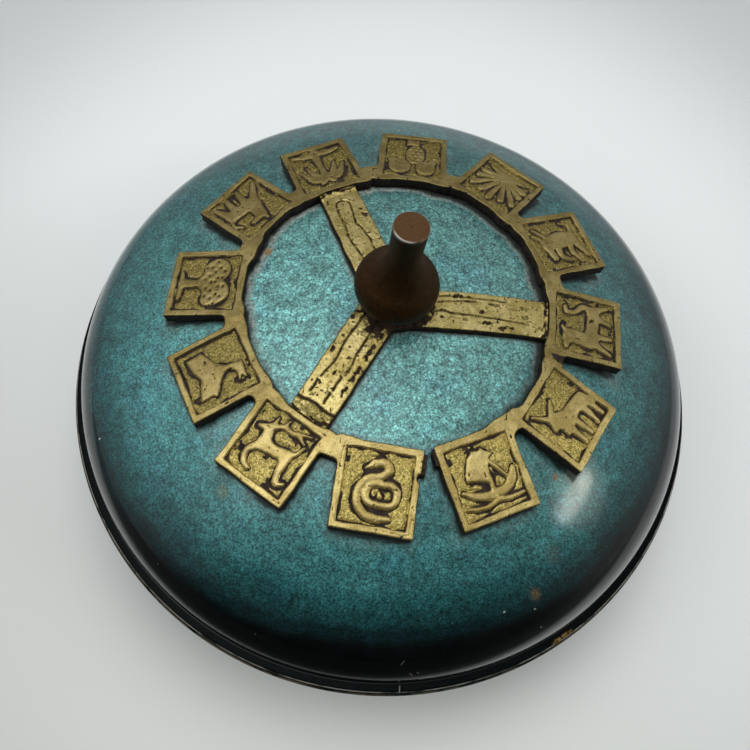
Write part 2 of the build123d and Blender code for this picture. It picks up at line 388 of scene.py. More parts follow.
FIGURES = (stag, snake, ship, ox, wolf, donkey, sheaf, grapes, palm, lion, tree, tent)


# ---------------------------------------------------------------- meshes

def make_mesh(name, points, quads, **marks):
    """A smooth mesh from points in millimetres, quads and per-point marks."""
    mesh = bpy.data.meshes.new(name)
    quads = np.asarray(quads, np.int32)
    mesh.vertices.add(len(points))
    mesh.vertices.foreach_set("co", (np.asarray(points) * MM).astype(np.float32).ravel())
    mesh.loops.add(quads.size)
    mesh.loops.foreach_set("vertex_index", quads.ravel())
    mesh.polygons.add(len(quads))
    mesh.polygons.foreach_set("loop_start", np.arange(0, quads.size, 4, dtype=np.int32))
    mesh.polygons.foreach_set("use_smooth", np.ones(len(quads), bool))
    for mark, values in marks.items():
        layer = mesh.attributes.new(mark, "FLOAT", "POINT")
        layer.data.foreach_set("value", np.asarray(values, np.float32))
    mesh.update(calc_edges=True)
    mesh.validate()
    piece = bpy.data.objects.new(name, mesh)
    bpy.context.scene.collection.objects.link(piece)
    return piece


def merge_poles(piece):
    """Joins the points that meet on the axis and drops the faces they close."""
    work = bmesh.new()
    work.from_mesh(piece.data)
    bmesh.ops.remove_doubles(work, verts=work.verts, dist=1e-6)
    work.to_mesh(piece.data)
    work.free()


def turn_profile(profile, turns, closed):
    """Points and quads of an outline of (radius, height) turned about Z."""
    profile = np.asarray(profile)
    angle = np.arange(turns) * 2 * math.pi / turns
    radius, height = profile[:, :1], profile[:, 1:]
    points = np.stack([
        radius * np.cos(angle), radius * np.sin(angle), np.broadcast_to(height, (len(profile), turns)),
    ], axis=-1)
    rows = len(profile) if closed else len(profile) - 1
    row, column = np.meshgrid(np.arange(rows), np.arange(turns), indexing="ij")
    next_row, next_column = (row + 1) % len(profile), (column + 1) % turns
    quads = np.stack([
        row * turns + column, next_row * turns + column,
        next_row * turns + next_column, row * turns + next_column,
    ], axis=-1)
    return points.reshape(-1, 3), quads.reshape(-1, 4)


def arc(centre, radius, start, end, count):
    """Points along an arc, both ends included, angles in radians."""
    angle = np.linspace(start, end, count)
    return np.stack([centre[0] + radius * np.cos(angle), centre[1] + radius * np.sin(angle)], -1)


def wall_curve(rise, shoulder, flange):
    """Crown radius, crown centre and meeting angle of a dish wall."""
    across = WALL_RADIUS - shoulder
    drop = flange - rise
    crown = (across**2 + drop**2 - shoulder**2) / (-2 * shoulder - 2 * drop)
    return crown, rise - crown, math.atan2(flange - rise + crown, across)


def shell_profile(rise, shoulder, flange, rim, hole, outer_steps, inner_steps):
    """Closed outline of a sheet wall with its folded flange, seam at zero."""
    crown, centre, meet = wall_curve(rise, shoulder, flange)
    across = WALL_RADIUS - shoulder
    fold = (flange - SEAM_GAP) / 2
    start = math.acos(hole / crown)

    def wall(offset, steps):
        top = arc((0, centre), crown + offset, start, meet, steps)
        side = arc((across, flange), shoulder + offset, meet, 0, steps // 3)
        return np.concatenate([top, side[1:]])

    crease = arc((WALL_RADIUS + 0.3, flange + 0.3), 0.3, math.pi, 1.5 * math.pi, 4)
    edge = arc((rim - fold, flange - fold), fold, math.pi / 2, -math.pi / 2, 9)
    inner_wall = WALL_RADIUS - SHEET
    foot = np.array([(inner_wall + 0.2, SEAM_GAP), (inner_wall, SEAM_GAP + 0.2)])
    return np.concatenate([
        wall(0, outer_steps)[:-1], crease, edge, foot, wall(-SHEET, inner_steps)[::-1],
    ])


def dome_top(x, y):
    """Height of the lid's outer face."""
    crown, centre, meet = wall_curve(LID_RISE, LID_SHOULDER, LID_FLANGE)
    radius = np.hypot(x, y)
    across = WALL_RADIUS - LID_SHOULDER
    on_crown = centre + np.sqrt(np.maximum(crown**2 - radius**2, 0))
    on_shoulder = LID_FLANGE + np.sqrt(np.maximum(LID_SHOULDER**2 - (radius - across) ** 2, 0))
    return SEAM + np.where(radius < across + LID_SHOULDER * math.cos(meet), on_crown, on_shoulder)


WALL_ROWS = 5
WALL_ROUGH, WALL_DRAFT = 0.16, 0.25         # grain of a cast wall, and how far it leans in
MOST_PULL, LEAST_SLOPE = 0.8, 0.3           # keep a border point's moves short


def bridge_corners(cell):
    """Fills in cells where two others would touch only at a corner."""
    for _ in range(3):
        a, b, c, d = cell[:-1, :-1], cell[1:, :-1], cell[:-1, 1:], cell[1:, 1:]
        pinch = (a & d & ~b & ~c) | (b & c & ~a & ~d)
        cell[1:, :-1] |= pinch
        cell[:-1, :-1] |= pinch
        cell[1:, 1:] |= pinch


def slide_to_outline(x, y, edge, step):
    """Points moved onto the true outline, and the outward direction at each."""
    probe = step / 4
    for _ in range(3):
        here = edge(x, y)
        gx = (edge(x + probe, y) - here) / probe
        gy = (edge(x, y + probe) - here) / probe
        pull = here / np.maximum(gx * gx + gy * gy, LEAST_SLOPE)
        pull = np.clip(pull, -step, step) * MOST_PULL
        x, y = x - pull * gx, y - pull * gy
    length = np.maximum(np.hypot(gx, gy), 0.1)
    return x, y, gx / length, gy / length


def slab(name, reach, step, edge, surface):
    """A closed solid over the plan area where edge(x, y) is negative.

    surface(x, y) gives the top and bottom heights and how dirty the top is.
    """
    grid = np.arange(-reach, reach + step, step)
    x, y = np.meshgrid(grid, grid, indexing="ij")
    e = edge(x, y)
    cell = (e[:-1, :-1] + e[1:, :-1] + e[:-1, 1:] + e[1:, 1:]) / 4 < 0
    bridge_corners(cell)
    padded = np.pad(cell, 1)
    around = padded[:-1, :-1].astype(int) + padded[1:, :-1] + padded[:-1, 1:] + padded[1:, 1:]
    used, border = around > 0, (around > 0) & (around < 4)
    bx, by, out_x, out_y = slide_to_outline(x[border], y[border], edge, step)
    x[border], y[border] = bx, by

    count = int(used.sum())
    index = np.full(x.shape, -1)
    index[used] = np.arange(count)
    px, py = x[used], y[used]
    top, bottom, dirt = surface(px, py)
    rim = index[border]
    rim_count = len(rim)
    wall_index = np.full(count, -1)
    wall_index[rim] = np.arange(rim_count)

    layers = [np.stack([px, py, top], -1), np.stack([px, py, bottom], -1)]
    for row in range(1, WALL_ROWS):
        share = row / WALL_ROWS
        height = top[rim] * (1 - share) + bottom[rim] * share
        rough = WALL_ROUGH * bumps(bx * 1.3 + row * 7, by * 1.3 + height, 1.1, 5)
        proud = rough - WALL_DRAFT * share
        layers.append(np.stack([bx + out_x * proud, by + out_y * proud, height], -1))
    points = np.concatenate(layers)
    dirt = np.concatenate([dirt, np.ones(len(points) - count)])

    i, j = np.nonzero(cell)
    face = np.stack([index[i, j], index[i + 1, j], index[i + 1, j + 1], index[i, j + 1]], -1)
    faces = [face, face[:, ::-1] + count]
    starts, ends = [], []
    for beside, a, b in (
        (padded[1:-1, :-2], (0, 0), (1, 0)), (padded[2:, 1:-1], (1, 0), (1, 1)),
        (padded[1:-1, 2:], (1, 1), (0, 1)), (padded[:-2, 1:-1], (0, 1), (0, 0)),
    ):
        i, j = np.nonzero(cell & ~beside)
        starts.append(index[i + a[0], j + a[1]])
        ends.append(index[i + b[0], j + b[1]])
    start, end = np.concatenate(starts), np.concatenate(ends)

    def level(rim_points, row):
        """Numbers of the points below some on the top's rim, row by row."""
        if row == 0:
            return rim_points
        if row == WALL_ROWS:
            return rim_points + count
        return 2 * count + (row - 1) * rim_count + wall_index[rim_points]

    for row in range(WALL_ROWS):
        corners = level(end, row), level(start, row), level(start, row + 1), level(end, row + 1)
        faces.append(np.stack(corners, -1))
    return make_mesh(name, points, np.concatenate(faces), dirt=dirt)


# ------------------------------------------------------- the tile casting

def turned(x, y, degrees):
    """Coordinates along and across a direction."""
    a = math.radians(degrees)
    return x * math.cos(a) + y * math.sin(a), y * math.cos(a) - x * math.sin(a)


def from_ring_centre(x, y):
    return x - RING_CENTRE[0], y - RING_CENTRE[1]


def tile_plane(x, y, number):
    """A tile's own coordinates (outwards, across) and its plane's height."""
    turn, out, beside = TILES[number]
    along, across = turned(*from_ring_centre(x, y), RING_START + TILE_PITCH * number)
    along = (along - RING_RADIUS - out) / math.cos(TILE_SLOPE)
    height = TILE_TOP - along * math.sin(TILE_SLOPE)
    u, v = turned(along, across - beside, turn)
    return u, v, height


def tile_edge(x, y, number):
    """Distance to a tile's outline, a little uneven as cast."""
    u, v, _ = tile_plane(x, y, number)
    wander = 0.22
    u = u + wander * bumps(v + 40 * number, v * 0 + 3, 7, 11)
    v = v + wander * bumps(u + 40 * number, u * 0 + 9, 7, 12)
    corner = 0.5
    half = TILE_SIDE / 2
    long_half = half + TILE_INNER_EXTRA / 2
    return box_distance(u + TILE_INNER_EXTRA / 2, v, long_half - corner, half - corner) - corner


def tiles_edge(x, y):
    """Distance to the outline of all the tiles together."""
    return np.minimum.reduce([tile_edge(x, y, number) for number in TILE_NUMBERS])


def web_edge(x, y, number):
    """Distance to the web after a tile."""
    inner = RING_RADIUS - TILE_SIDE / 2 - TILE_INNER_EXTRA
    middle = math.hypot(inner, TILE_SIDE / 2) + WEB_LENGTH / 2
    middle_turn = RING_START + TILE_PITCH * number + TILE_PITCH / 2
    along, across = turned(*from_ring_centre(x, y), middle_turn)
    return box_distance(along - middle, across, WEB_LENGTH / 2, WEB_WIDTH / 2)


INNER_FILLET, FILLET_LOSS = 6.5, 4.9        # wide on the ring's inside, tight outside


def ring_edge(x, y):
    """Distance to the whole casting's outline."""
    webs = np.minimum.reduce([web_edge(x, y, number) for number in TILE_NUMBERS if number != OPEN_AFTER])
    radius = np.hypot(*from_ring_centre(x, y))
    fillet = INNER_FILLET - FILLET_LOSS * ramp(radius, 56, 59)
    whole = np.minimum(blend_min(tiles_edge(x, y), webs, fillet), stub_edge(x, y))
    return np.maximum(whole, -bite_edge(x, y))


# Tile, place across and outwards on it, and half sizes of the stumps of the
# web that snapped off. Then the bite beside one: across, inwards and radius.
STUMPS = ((OPEN_AFTER, 13.0, -9.9, 1.3, 3.3), (OPEN_AFTER + 1, -13.0, -11.0, 1.1, 2.4))
BITE = (TILE_SIDE / 2 + 0.4, 5.6, 1.2)


def stub_edge(x, y):
    """Distance to the two ragged stumps."""
    u, v, _ = tile_plane(x, y, OPEN_AFTER)
    ragged = 0.3 * bumps(u, v, 0.9, 21)
    stumps = []
    for number, across, out, half_across, half_out in STUMPS:
        u, v, _ = tile_plane(x, y, number)
        stumps.append(box_distance(v - across, u - out, half_across, half_out) + ragged)
    return np.minimum(*stumps)


def bite_edge(x, y):
    """A ragged bite out of the snake tile's side, under the stump."""
    u, v, _ = tile_plane(x, y, OPEN_AFTER)
    return disc(v, -u, *BITE) + 0.35 * bumps(u, v, 0.8, 22)


FIELD_HALF = TILE_SIDE / 2 - TILE_FRAME
FLOOR_DEPTH = 1.05
FIGURE_DROP = 0.12


def tile_relief(u, v, number):
    """Height over a tile's plane and dirt, for points on that tile.

    Dirt is 1 in a black crevice, 0 on plain metal and below 0 on worn edges.
    """
    hand = 0.18
    x = v + hand * bumps(u + 31 * number, v, 2.2, 31)
    y = -u + hand * bumps(u, v + 31 * number, 2.2, 32)
    shape = FIGURES[number](x, y)
    longer = TILE_FIELD_EXTRA / 2
    inside = box_distance(u + longer, v, FIELD_HALF + longer, FIELD_HALF)
    inside += 0.22 * bumps(u, v, 2.5, 33 + number) + 0.25 * bumps(u, v, 9, 45 + number)
    wall = np.minimum(shape, -inside)
    grain = bumps(u, v + 50 * number, 0.55, 34) + 0.6 * bumps(u, v, 1.3, 35)
    floor = -FLOOR_DEPTH + 0.35 * ramp(wall, 0.3, 1.6) + 0.12 * grain
    crown = -FIGURE_DROP - 0.20 * fall(-shape, 0.0, 1.0) + 0.03 * grain
    on_figure = ramp(-shape, -0.12, 0.16)
    field = floor * (1 - on_figure) + crown * on_figure
    in_field = ramp(-inside, -0.05, 0.3)
    line = np.abs(inside - 0.95 - 0.3 * bumps(u, v, 6, 36))
    scribed = fall(line, 0.03, 0.22) * ramp(bumps(u, v + 13 * number, 5, 37), 0.1, 0.4)
    frame_top = -0.12 * scribed + 0.05 * bumps(u, v, 1.6, 38)
    height = frame_top * (1 - in_field) + field * in_field
    pits = ramp(bumps(u, v + 70 * number, 0.9, 39), 0.68, 0.85)

    width = 0.72 + 0.95 * bumps(u, v + 17 * number, 3.4, 43) + 0.3 * bumps(u, v, 1.0, 44)
    width = np.maximum(width, 0.16)
    crevice = fall(wall, 0.45 * width, width + 0.3)
    pools = ramp(bumps(u, v + 23 * number, 4.4, 46) + 0.3 * bumps(u, v, 1.1, 47), 0.46, 0.80)
    crevice = np.maximum(crevice, 0.9 * pools * fall(wall, 1.2, 2.6))
    patch_dirt = ramp(bumps(u, v + 29 * number, 3.6, 41), 0.1, 0.7)
    floor_dirt = np.clip(0.36 + 0.12 * patch_dirt + 0.04 * grain, 0.31, 1)
    floor_dirt = np.maximum(floor_dirt, crevice)
    low = in_field * (1 - on_figure)
    figure_worn = fall(np.abs(shape + 0.4), 0.1, 0.4)
    frame_worn = fall(np.abs(inside - 0.32), 0.08, 0.3)
    worn = np.where(shape < 0, figure_worn, frame_worn)
    top_dirt = np.clip(0.45 * scribed + 0.7 * pits - 0.55 * worn, -1, 1)
    dirt = low * floor_dirt + (1 - low) * top_dirt
    return height - 0.15 * pits, dirt


EDGE_ROUND = 0.42
SOILED_WEB = (59.3, -14.6)


def round_over(edge, radius=EDGE_ROUND):
    """Drop of a worn edge, from the distance inside the outline."""
    inwards = np.clip(radius + edge, 0, radius)
    return radius - np.sqrt(np.maximum(radius**2 - inwards**2, 0))


def ring_surface(x, y):
    edges = np.stack([tile_edge(x, y, number) for number in TILE_NUMBERS])
    weight = np.exp(-np.clip(edges, -0.5, 20) / 0.8)
    weight /= weight.sum(0)
    plane = np.zeros(x.shape)
    for number in TILE_NUMBERS:
        plane += weight[number] * tile_plane(x, y, number)[2]
    relief = 0.05 * bumps(x, y, 1.6, 38)
    dirt = 0.7 * ramp(bumps(x, y, 0.9, 39), 0.6, 0.8)
    for number in TILE_NUMBERS:
        on_tile = edges[number] < 0
        u, v, _ = tile_plane(x[on_tile], y[on_tile], number)
        relief[on_tile], dirt[on_tile] = tile_relief(u, v, number)
    outline = ring_edge(x, y)
    top = plane + relief - round_over(outline)
    under = np.maximum(plane - TILE_THICKNESS, dome_top(x, y) + FIT_GAP)
    worn = fall(np.abs(outline + 0.62), 0.15, 0.42)
    dirt = np.where(dirt < 0.3, np.minimum(dirt, -0.6 * worn), dirt)
    on_tile = np.minimum(edges[OPEN_AFTER], edges[OPEN_AFTER + 1])
    broken = fall(stub_edge(x, y), -0.3, 0.1) * ramp(on_tile, -0.35, 0.05)
    broken = np.maximum(broken, fall(bite_edge(x, y), 0.15, 0.7))
    in_tile = edges.min(0)
    top -= broken * (0.55 + 0.35 * bumps(x, y, 0.7, 42))
    dirt = np.maximum(dirt, broken)
    soiled = disc(x, y, *SOILED_WEB, 4.5) + 2.0 * bumps(x, y, 2.4, 48)
    dirt = np.maximum(dirt, 0.8 * fall(soiled, -0.8, 0.8) * (in_tile > 0.4))
    dirt = np.maximum(dirt, 0.9 * ramp(outline, -0.14, 0.0))
    return top, np.minimum(under, top - 0.6), dirt


# ---------------------------------------------------------- the strap piece

def strap_frame(x, y, number):
    """Coordinates outwards and across one strap."""
    direction, beside = STRAPS[number]
    u, v = turned(x, y, direction)
    return u, v - beside


def spider_edge(x, y):
    plan = disc(x, y, 0, 0, HUB_RADIUS)
    for number in range(len(STRAPS)):
        u, v = strap_frame(x, y, number)
        v = v + 0.2 * bumps(u + 90 * number, u * 0, 6, 51)
        strap = box_distance(u - 30, v, 30, STRAP_WIDTH / 2)
        plan = blend_min(plan, strap, 1.5)
    hole = disc(x, y, 0, 0, SCREW_HOLE)
    return np.maximum(np.maximum(plan, 0.05 - tiles_edge(x, y)), -hole)


# Engraved lines on each strap: points (outwards, across, half width).
ENGRAVED = (
    (
        (
            (9, -1.6, 0.20), (12, -1.2, 0.24), (17, -0.4, 0.24), (20, -1.2, 0.24), (26, -1.3, 0.24),
            (30, -1.7, 0.2),
        ),
        ((30, -1.7, 0.12), (38, -2.2, 0.12), (47, -2.6, 0.1)),
        ((15, 2.8, 0.12), (22, 3.6, 0.15), (26, 3.9, 0.3), (28.8, 4.0, 0.24)),
        ((33, 3.5, 0.20), (36.6, 3.2, 0.3)),
        ((12, 5.0, 0.1), (24, 5.3, 0.12), (40, 4.9, 0.1)),
    ),
    (
        ((10, 1.6, 0.24), (23.6, 1.9, 0.24), (28.6, 2.8, 0.20), (31.8, 2.7, 0.3)),
        ((33, 2.0, 0.30), (38, 2.0, 0.30)),
        ((39.4, 1.9, 0.30), (43, 1.9, 0.28)),
        ((10, -3.3, 0.24), (20.5, -3.9, 0.24), (28.6, -3.0, 0.20), (36, -3.9, 0.20)),
        ((37.7, -4.0, 0.30), (41.8, -4.1, 0.30)),
    ),
    (
        (
            (11, 2.2, 0.24), (20.5, 2.6, 0.24), (28, 3.8, 0.24), (34.9, 3.2, 0.28), (43, 3.0, 0.28),
            (46.1, 2.4, 0.28), (46.9, 0.3, 0.28), (45.5, -2.1, 0.28), (41.8, -2.0, 0.24),
            (34.9, -1.0, 0.24), (31.8, -1.9, 0.24), (26.8, -2.8, 0.24), (21.4, -2.9, 0.24), (12, -3.2, 0.24),
        ),
    ),
)
PITTED = (
    (
        ((30.8, -3.6, 0.20), (33.4, -3.9, 0.20)), ((35.3, -4.9, 0.30), (38.9, -5.3, 0.30)),
        ((39.8, -4.8, 0.30), (43.3, -5.2, 0.24)), ((29.6, 0.0, 0.24), (30.2, 0.0, 0.3)),
        ((16.2, -2.6, 0.24), (16.8, -2.7, 0.24)), ((21, 5.8, 0.3), (23, 5.9, 0.3)),
    ),
    (
        ((14, 5.2, 0.24), (16, 5.3, 0.24)), ((19, 5.2, 0.24), (23.6, 5.3, 0.30)),
        ((27, 5.2, 0.30), (32, 5.3, 0.30)), ((35, 5.2, 0.24), (38, 5.2, 0.30)),
        ((32.4, -0.5, 0.24), (33, -0.5, 0.24)), ((26, -5.8, 0.24), (26.8, -5.8, 0.24)),
    ),
    (
        ((36.5, -5.4, 0.30), (38.6, -5.4, 0.30)), ((40, -5.1, 0.24), (40.6, -5.1, 0.24)),
        ((15, -5.4, 0.24), (18, -5.5, 0.24)),
    ),
)


def spider_surface(x, y):
    outline = spider_edge(x, y)
    base = dome_top(x, y)
    top = base + FIT_GAP + STRAP_THICKNESS - round_over(outline, 0.5)
    grain = bumps(x, y, 0.6, 52) + 0.7 * bumps(x, y, 1.5, 53)
    dirt = 0.34 * ramp(grain, 0.35, 1.1)
    top += 0.07 * grain
    for number in range(len(STRAPS)):
        u, v = strap_frame(x, y, number)
        on_strap = (u > 4) & (np.abs(v) < STRAP_WIDTH / 2 + 0.3)
        hand = 0.15 * bumps(u, v, 2.0, 54 + number)
        brushed = bumps(u / 6, v, 0.45, 68 + number) + 0.5 * bumps(u / 9, v, 1.2, 71 + number)
        dirt += 0.24 * brushed * on_strap
        for points in ENGRAVED[number]:
            line = curve(u, v + hand, *points)
            cut = fall(line, -0.05, 0.26) * on_strap
            top -= 0.5 * cut
            dirt = np.maximum(dirt, cut * (0.66 + 0.3 * bumps(u, v, 1.5, 57)))
            lip = fall(np.abs(line - 0.5), 0.05, 0.25) * on_strap
            dirt -= 0.3 * lip * (dirt < 0.3)
        for points in PITTED[number]:
            pit_zone = chain(u, v, points) + 0.75 * bumps(u, v, 0.8, 58)
            pits = fall(pit_zone, 0.0, 0.35) * on_strap
            top -= 0.6 * pits
            dirt = np.maximum(dirt, pits)
    loose = ramp(bumps(x, y, 0.8, 59), 0.76, 0.9)
    top -= 0.3 * loose
    dirt = np.maximum(dirt, loose * 0.9)
    ring = ring_edge(x, y)
    solder = fall(ring, 0.4, 3.0)
    lumps = 0.5 + 0.5 * bumps(x, y, 1.5, 60)
    top += solder * (0.3 + 0.9 * lumps)
    crack = fall(np.abs(ring - 0.8 - 0.7 * bumps(x, y, 2.0, 61)), 0.15, 0.7)
    crack *= ramp(bumps(x, y, 1.6, 62), -0.45, 0.1)
    top -= 0.9 * crack
    dirt = np.maximum(dirt, crack)
    clump = 2.6 * bumps(x, y, 2.2, 63) + 1.6 * bumps(x, y, 0.9, 64)
    soot = fall(np.hypot(x, y + 1.5) + clump, 12.0, 14.5)
    top += 0.35 * soot * bumps(x, y, 1.2, 65)
    dirt = np.maximum(dirt, 0.85 * soot)
    u, v = strap_frame(x, y, 1)
    brazed = ramp(u, 43.5, 45.0) * (np.abs(v) < STRAP_WIDTH)
    dirt = np.maximum(dirt, brazed * (0.32 + 0.2 * bumps(x, y, 1.6, 66)))
    from_joint = np.abs(u - 44.6 - 0.6 * bumps(v, u * 0, 2.5, 67))
    gap = fall(from_joint, 0.2, 0.6) * (np.abs(v) < STRAP_WIDTH)
    dirt = np.maximum(dirt, gap)
    top -= 0.5 * gap
    worn = fall(np.abs(outline + 0.75), 0.2, 0.5)
    dirt = np.where(dirt < 0.3, dirt - 0.5 * worn, dirt)
    dirt = np.maximum(dirt, 0.95 * ramp(outline, -0.20, -0.04))
    return top, base + FIT_GAP, np.clip(dirt, -1, 1)


# ------------------------------------------------------------- the pieces

# Points in one turn of each round piece.
LID_TURNS, BOWL_TURNS, KNOB_TURNS, FELT_TURNS = 480, 360, 160, 360


def build_lid():
    """Enamelled dome with slight hand-beaten waves, flux stains and a painted shadow beside the brass."""
    profile = shell_profile(LID_RISE, LID_SHOULDER, LID_FLANGE, LID_RIM, SCREW_HOLE, 118, 24)
    points, quads = turn_profile(profile, LID_TURNS, True)
    x, y = points[:, 0], points[:, 1]
    radius = np.hypot(x, y)
    inner = ramp(radius, 8, 25) * fall(radius, 112, 117)
    points[:, 2] += SEAM + inner * (0.10 * bumps(x, y, 38, 71) + 0.03 * bumps(x, y, 11, 72))
    to_ring, to_straps = ring_edge(x, y), spider_edge(x, y)
    uneven = 0.8 * bumps(x, y, 6, 73) + 0.35 * bumps(x, y, 1.8, 74)
    inside_ring = fall(np.hypot(*from_ring_centre(x, y)), 55, 60)
    shaded_side = ramp(np.cos(np.arctan2(y, x) - math.radians(25)), 0.1, 0.8) * inside_ring
    front_side = ramp(-y, 5, 35)
    by_ring = fall(to_ring + uneven, 2.0, 3.6) * inside_ring * (1 - 0.75 * front_side)
    stain = to_ring + 2.6 * bumps(x, y, 9, 75) + 0.8 * bumps(x, y, 2.5, 76)
    outside = fall(stain, 0.2, 4.6) * (1 - inside_ring) * 0.26
    by_straps = fall(to_straps + uneven, 0.3, 1.5) * 0.6
    halo = np.maximum(by_ring, np.maximum(outside, by_straps))
    # Painted shadow: a near-black band on the enamel along the ring's edges, wider on the shaded side inside
    # the ring, and along the straps' edges.
    grime_width = 0.9 + 2.1 * shaded_side
    grime = fall(to_ring + 0.7 * uneven, 0.4 * grime_width, grime_width)
    grime = np.maximum(grime, fall(to_straps + 0.5 * uneven, 0.0, 0.8))
    return make_mesh("lid_enamel_dome", points, quads[:, ::-1], halo=halo, grime=grime)


def build_bowl():
    profile = shell_profile(BOWL_DROP, BOWL_SHOULDER, BOWL_FLANGE, BOWL_RIM, 0.0, 64, 30)
    points, quads = turn_profile(profile, BOWL_TURNS, False)
    points[:, 2] = SEAM - points[:, 2]
    x, y = points[:, 0], points[:, 1]
    inner = ramp(np.hypot(x, y), 60, 75) * fall(np.hypot(x, y), 112, 117)
    points[:, 2] += inner * 0.05 * bumps(x, y, 34, 81)
    bowl = make_mesh("bowl_enamel_shell", points, quads)
    merge_poles(bowl)
    return bowl


KNOB_LEAN = math.radians(2.6)
BULB_RADIUS, BULB_ARC, BULB_HEIGHT = 14.0, 8.0, 8.8
BULB_SPAN = math.radians(52)
NECK_RADIUS, NECK_HEIGHT = 5.3, 29.0
KNOB_TOP_RADIUS, KNOB_LENGTH = 5.4, 41.6
KNOB_BASE_RADIUS = 9.4


def build_knob():
    """Lathe-turned knob with faint tool rings and a softened top edge."""
    centre = (BULB_RADIUS - BULB_ARC, BULB_HEIGHT)
    bulb = arc(centre, BULB_ARC, -BULB_SPAN, BULB_SPAN, 40)
    high_end = bulb[-1]
    slope = np.array([-math.sin(BULB_SPAN), math.cos(BULB_SPAN)])
    t = np.linspace(0, 1, 50)[1:, None]
    neck = np.array([NECK_RADIUS, NECK_HEIGHT])
    span = np.linalg.norm(neck - high_end)
    throat = hermite(high_end, neck, slope * span, np.array([0.0, 1.0]) * span, t)
    lip = np.array([KNOB_TOP_RADIUS, KNOB_LENGTH - 0.45])
    t = np.linspace(0, 1, 14)[1:, None]
    flare = hermite(neck, lip, np.array([0.0, 12.0]), np.array([0.6, 12.0]), t)
    rounding = arc((KNOB_TOP_RADIUS - 0.4, KNOB_LENGTH - 0.42), 0.4, 0.2, math.pi / 2, 6)
    top = np.stack([np.linspace(KNOB_TOP_RADIUS - 0.6, 0, 16), np.full(16, KNOB_LENGTH)], -1)
    top[:, 1] -= 0.10 * fall(top[:, 0], 0.2, 0.7)
    base = np.array([(0.0, -1.0), (4.0, -1.0), (KNOB_BASE_RADIUS, -1.0), (KNOB_BASE_RADIUS, 0.0)])
    profile = np.concatenate([base, bulb, throat, flare, rounding, top])
    points, quads = turn_profile(profile, KNOB_TURNS, False)
    angle = np.arctan2(points[:, 1], points[:, 0])
    rings = 1 + 0.002 * np.sin(points[:, 2] * 5.2) + 0.0015 * np.sin(2 * angle)
    points[:, :2] *= rings[:, None]
    x, z = points[:, 0].copy(), points[:, 2].copy()
    points[:, 0] = x * math.cos(KNOB_LEAN) + z * math.sin(KNOB_LEAN)
    points[:, 2] = z * math.cos(KNOB_LEAN) - x * math.sin(KNOB_LEAN)
    points[:, 2] = np.maximum(points[:, 2], 0) + KNOB_BASE
    knob = make_mesh("knob_turned_wood", points, quads)
    merge_poles(knob)
    return knob


def hermite(start, end, leave, arrive, t):
    """Points on a curve between two points with given end directions."""
    a = 2 * t**3 - 3 * t**2 + 1
    b = t**3 - 2 * t**2 + t
    return a * start + b * leave + (1 - a) * end + (t**3 - t**2) * arrive


FELT_WIDTH = 3.4


def build_felt():
    """Felt ring with a soft fuzzy edge, inside the plain solid's place."""
    bottom, top = low("foot_felt")[2], high("foot_felt")[2]
    outer = high("foot_felt")[0]
    middle = (bottom + top) / 2
    half = (top - bottom) / 2
    right = arc((outer - half, middle), half, -math.pi / 2, math.pi / 2, 9)
    left = arc((outer - FELT_WIDTH + half, middle), half, math.pi / 2, 1.5 * math.pi, 9)
    points, quads = turn_profile(np.concatenate([right, left]), FELT_TURNS, True)
    angle = np.arctan2(points[:, 1], points[:, 0]) * 50
    points[:, :2] *= 1 + 0.0016 * bumps(angle, points[:, 2], 0.5, 91)[:, None]
    return make_mesh("foot_felt_ring", points, quads)


# -------------------------------------------------------------- materials

class Value:
    """A number from a node. Arithmetic on it adds the nodes that work it out."""

    def __init__(self, look, socket):
        self.look, self.socket = look, socket

    def __add__(self, other):
        return self.look.calc("ADD", self, other)

    def __radd__(self, other):
        return self.look.calc("ADD", other, self)

    def __sub__(self, other):
        return self.look.calc("SUBTRACT", self, other)

    def __rsub__(self, other):
        return self.look.calc("SUBTRACT", other, self)

    def __mul__(self, other):
        return self.look.calc("MULTIPLY", self, other)

    def __truediv__(self, other):
        return self.look.calc("DIVIDE", self, other)

    def __abs__(self):
        return self.look.calc("ABSOLUTE", self)

    def span(self, start, end, to_start=0.0, to_end=1.0):
        """This number mapped from start..end to to_start..to_end, smooth and clamped."""
        return self.look.number("ShaderNodeMapRange", "Result", {
            "Value": self, "From Min": start, "From Max": end, "To Min": to_start, "To Max": to_end,
        }, interpolation_type="SMOOTHSTEP")


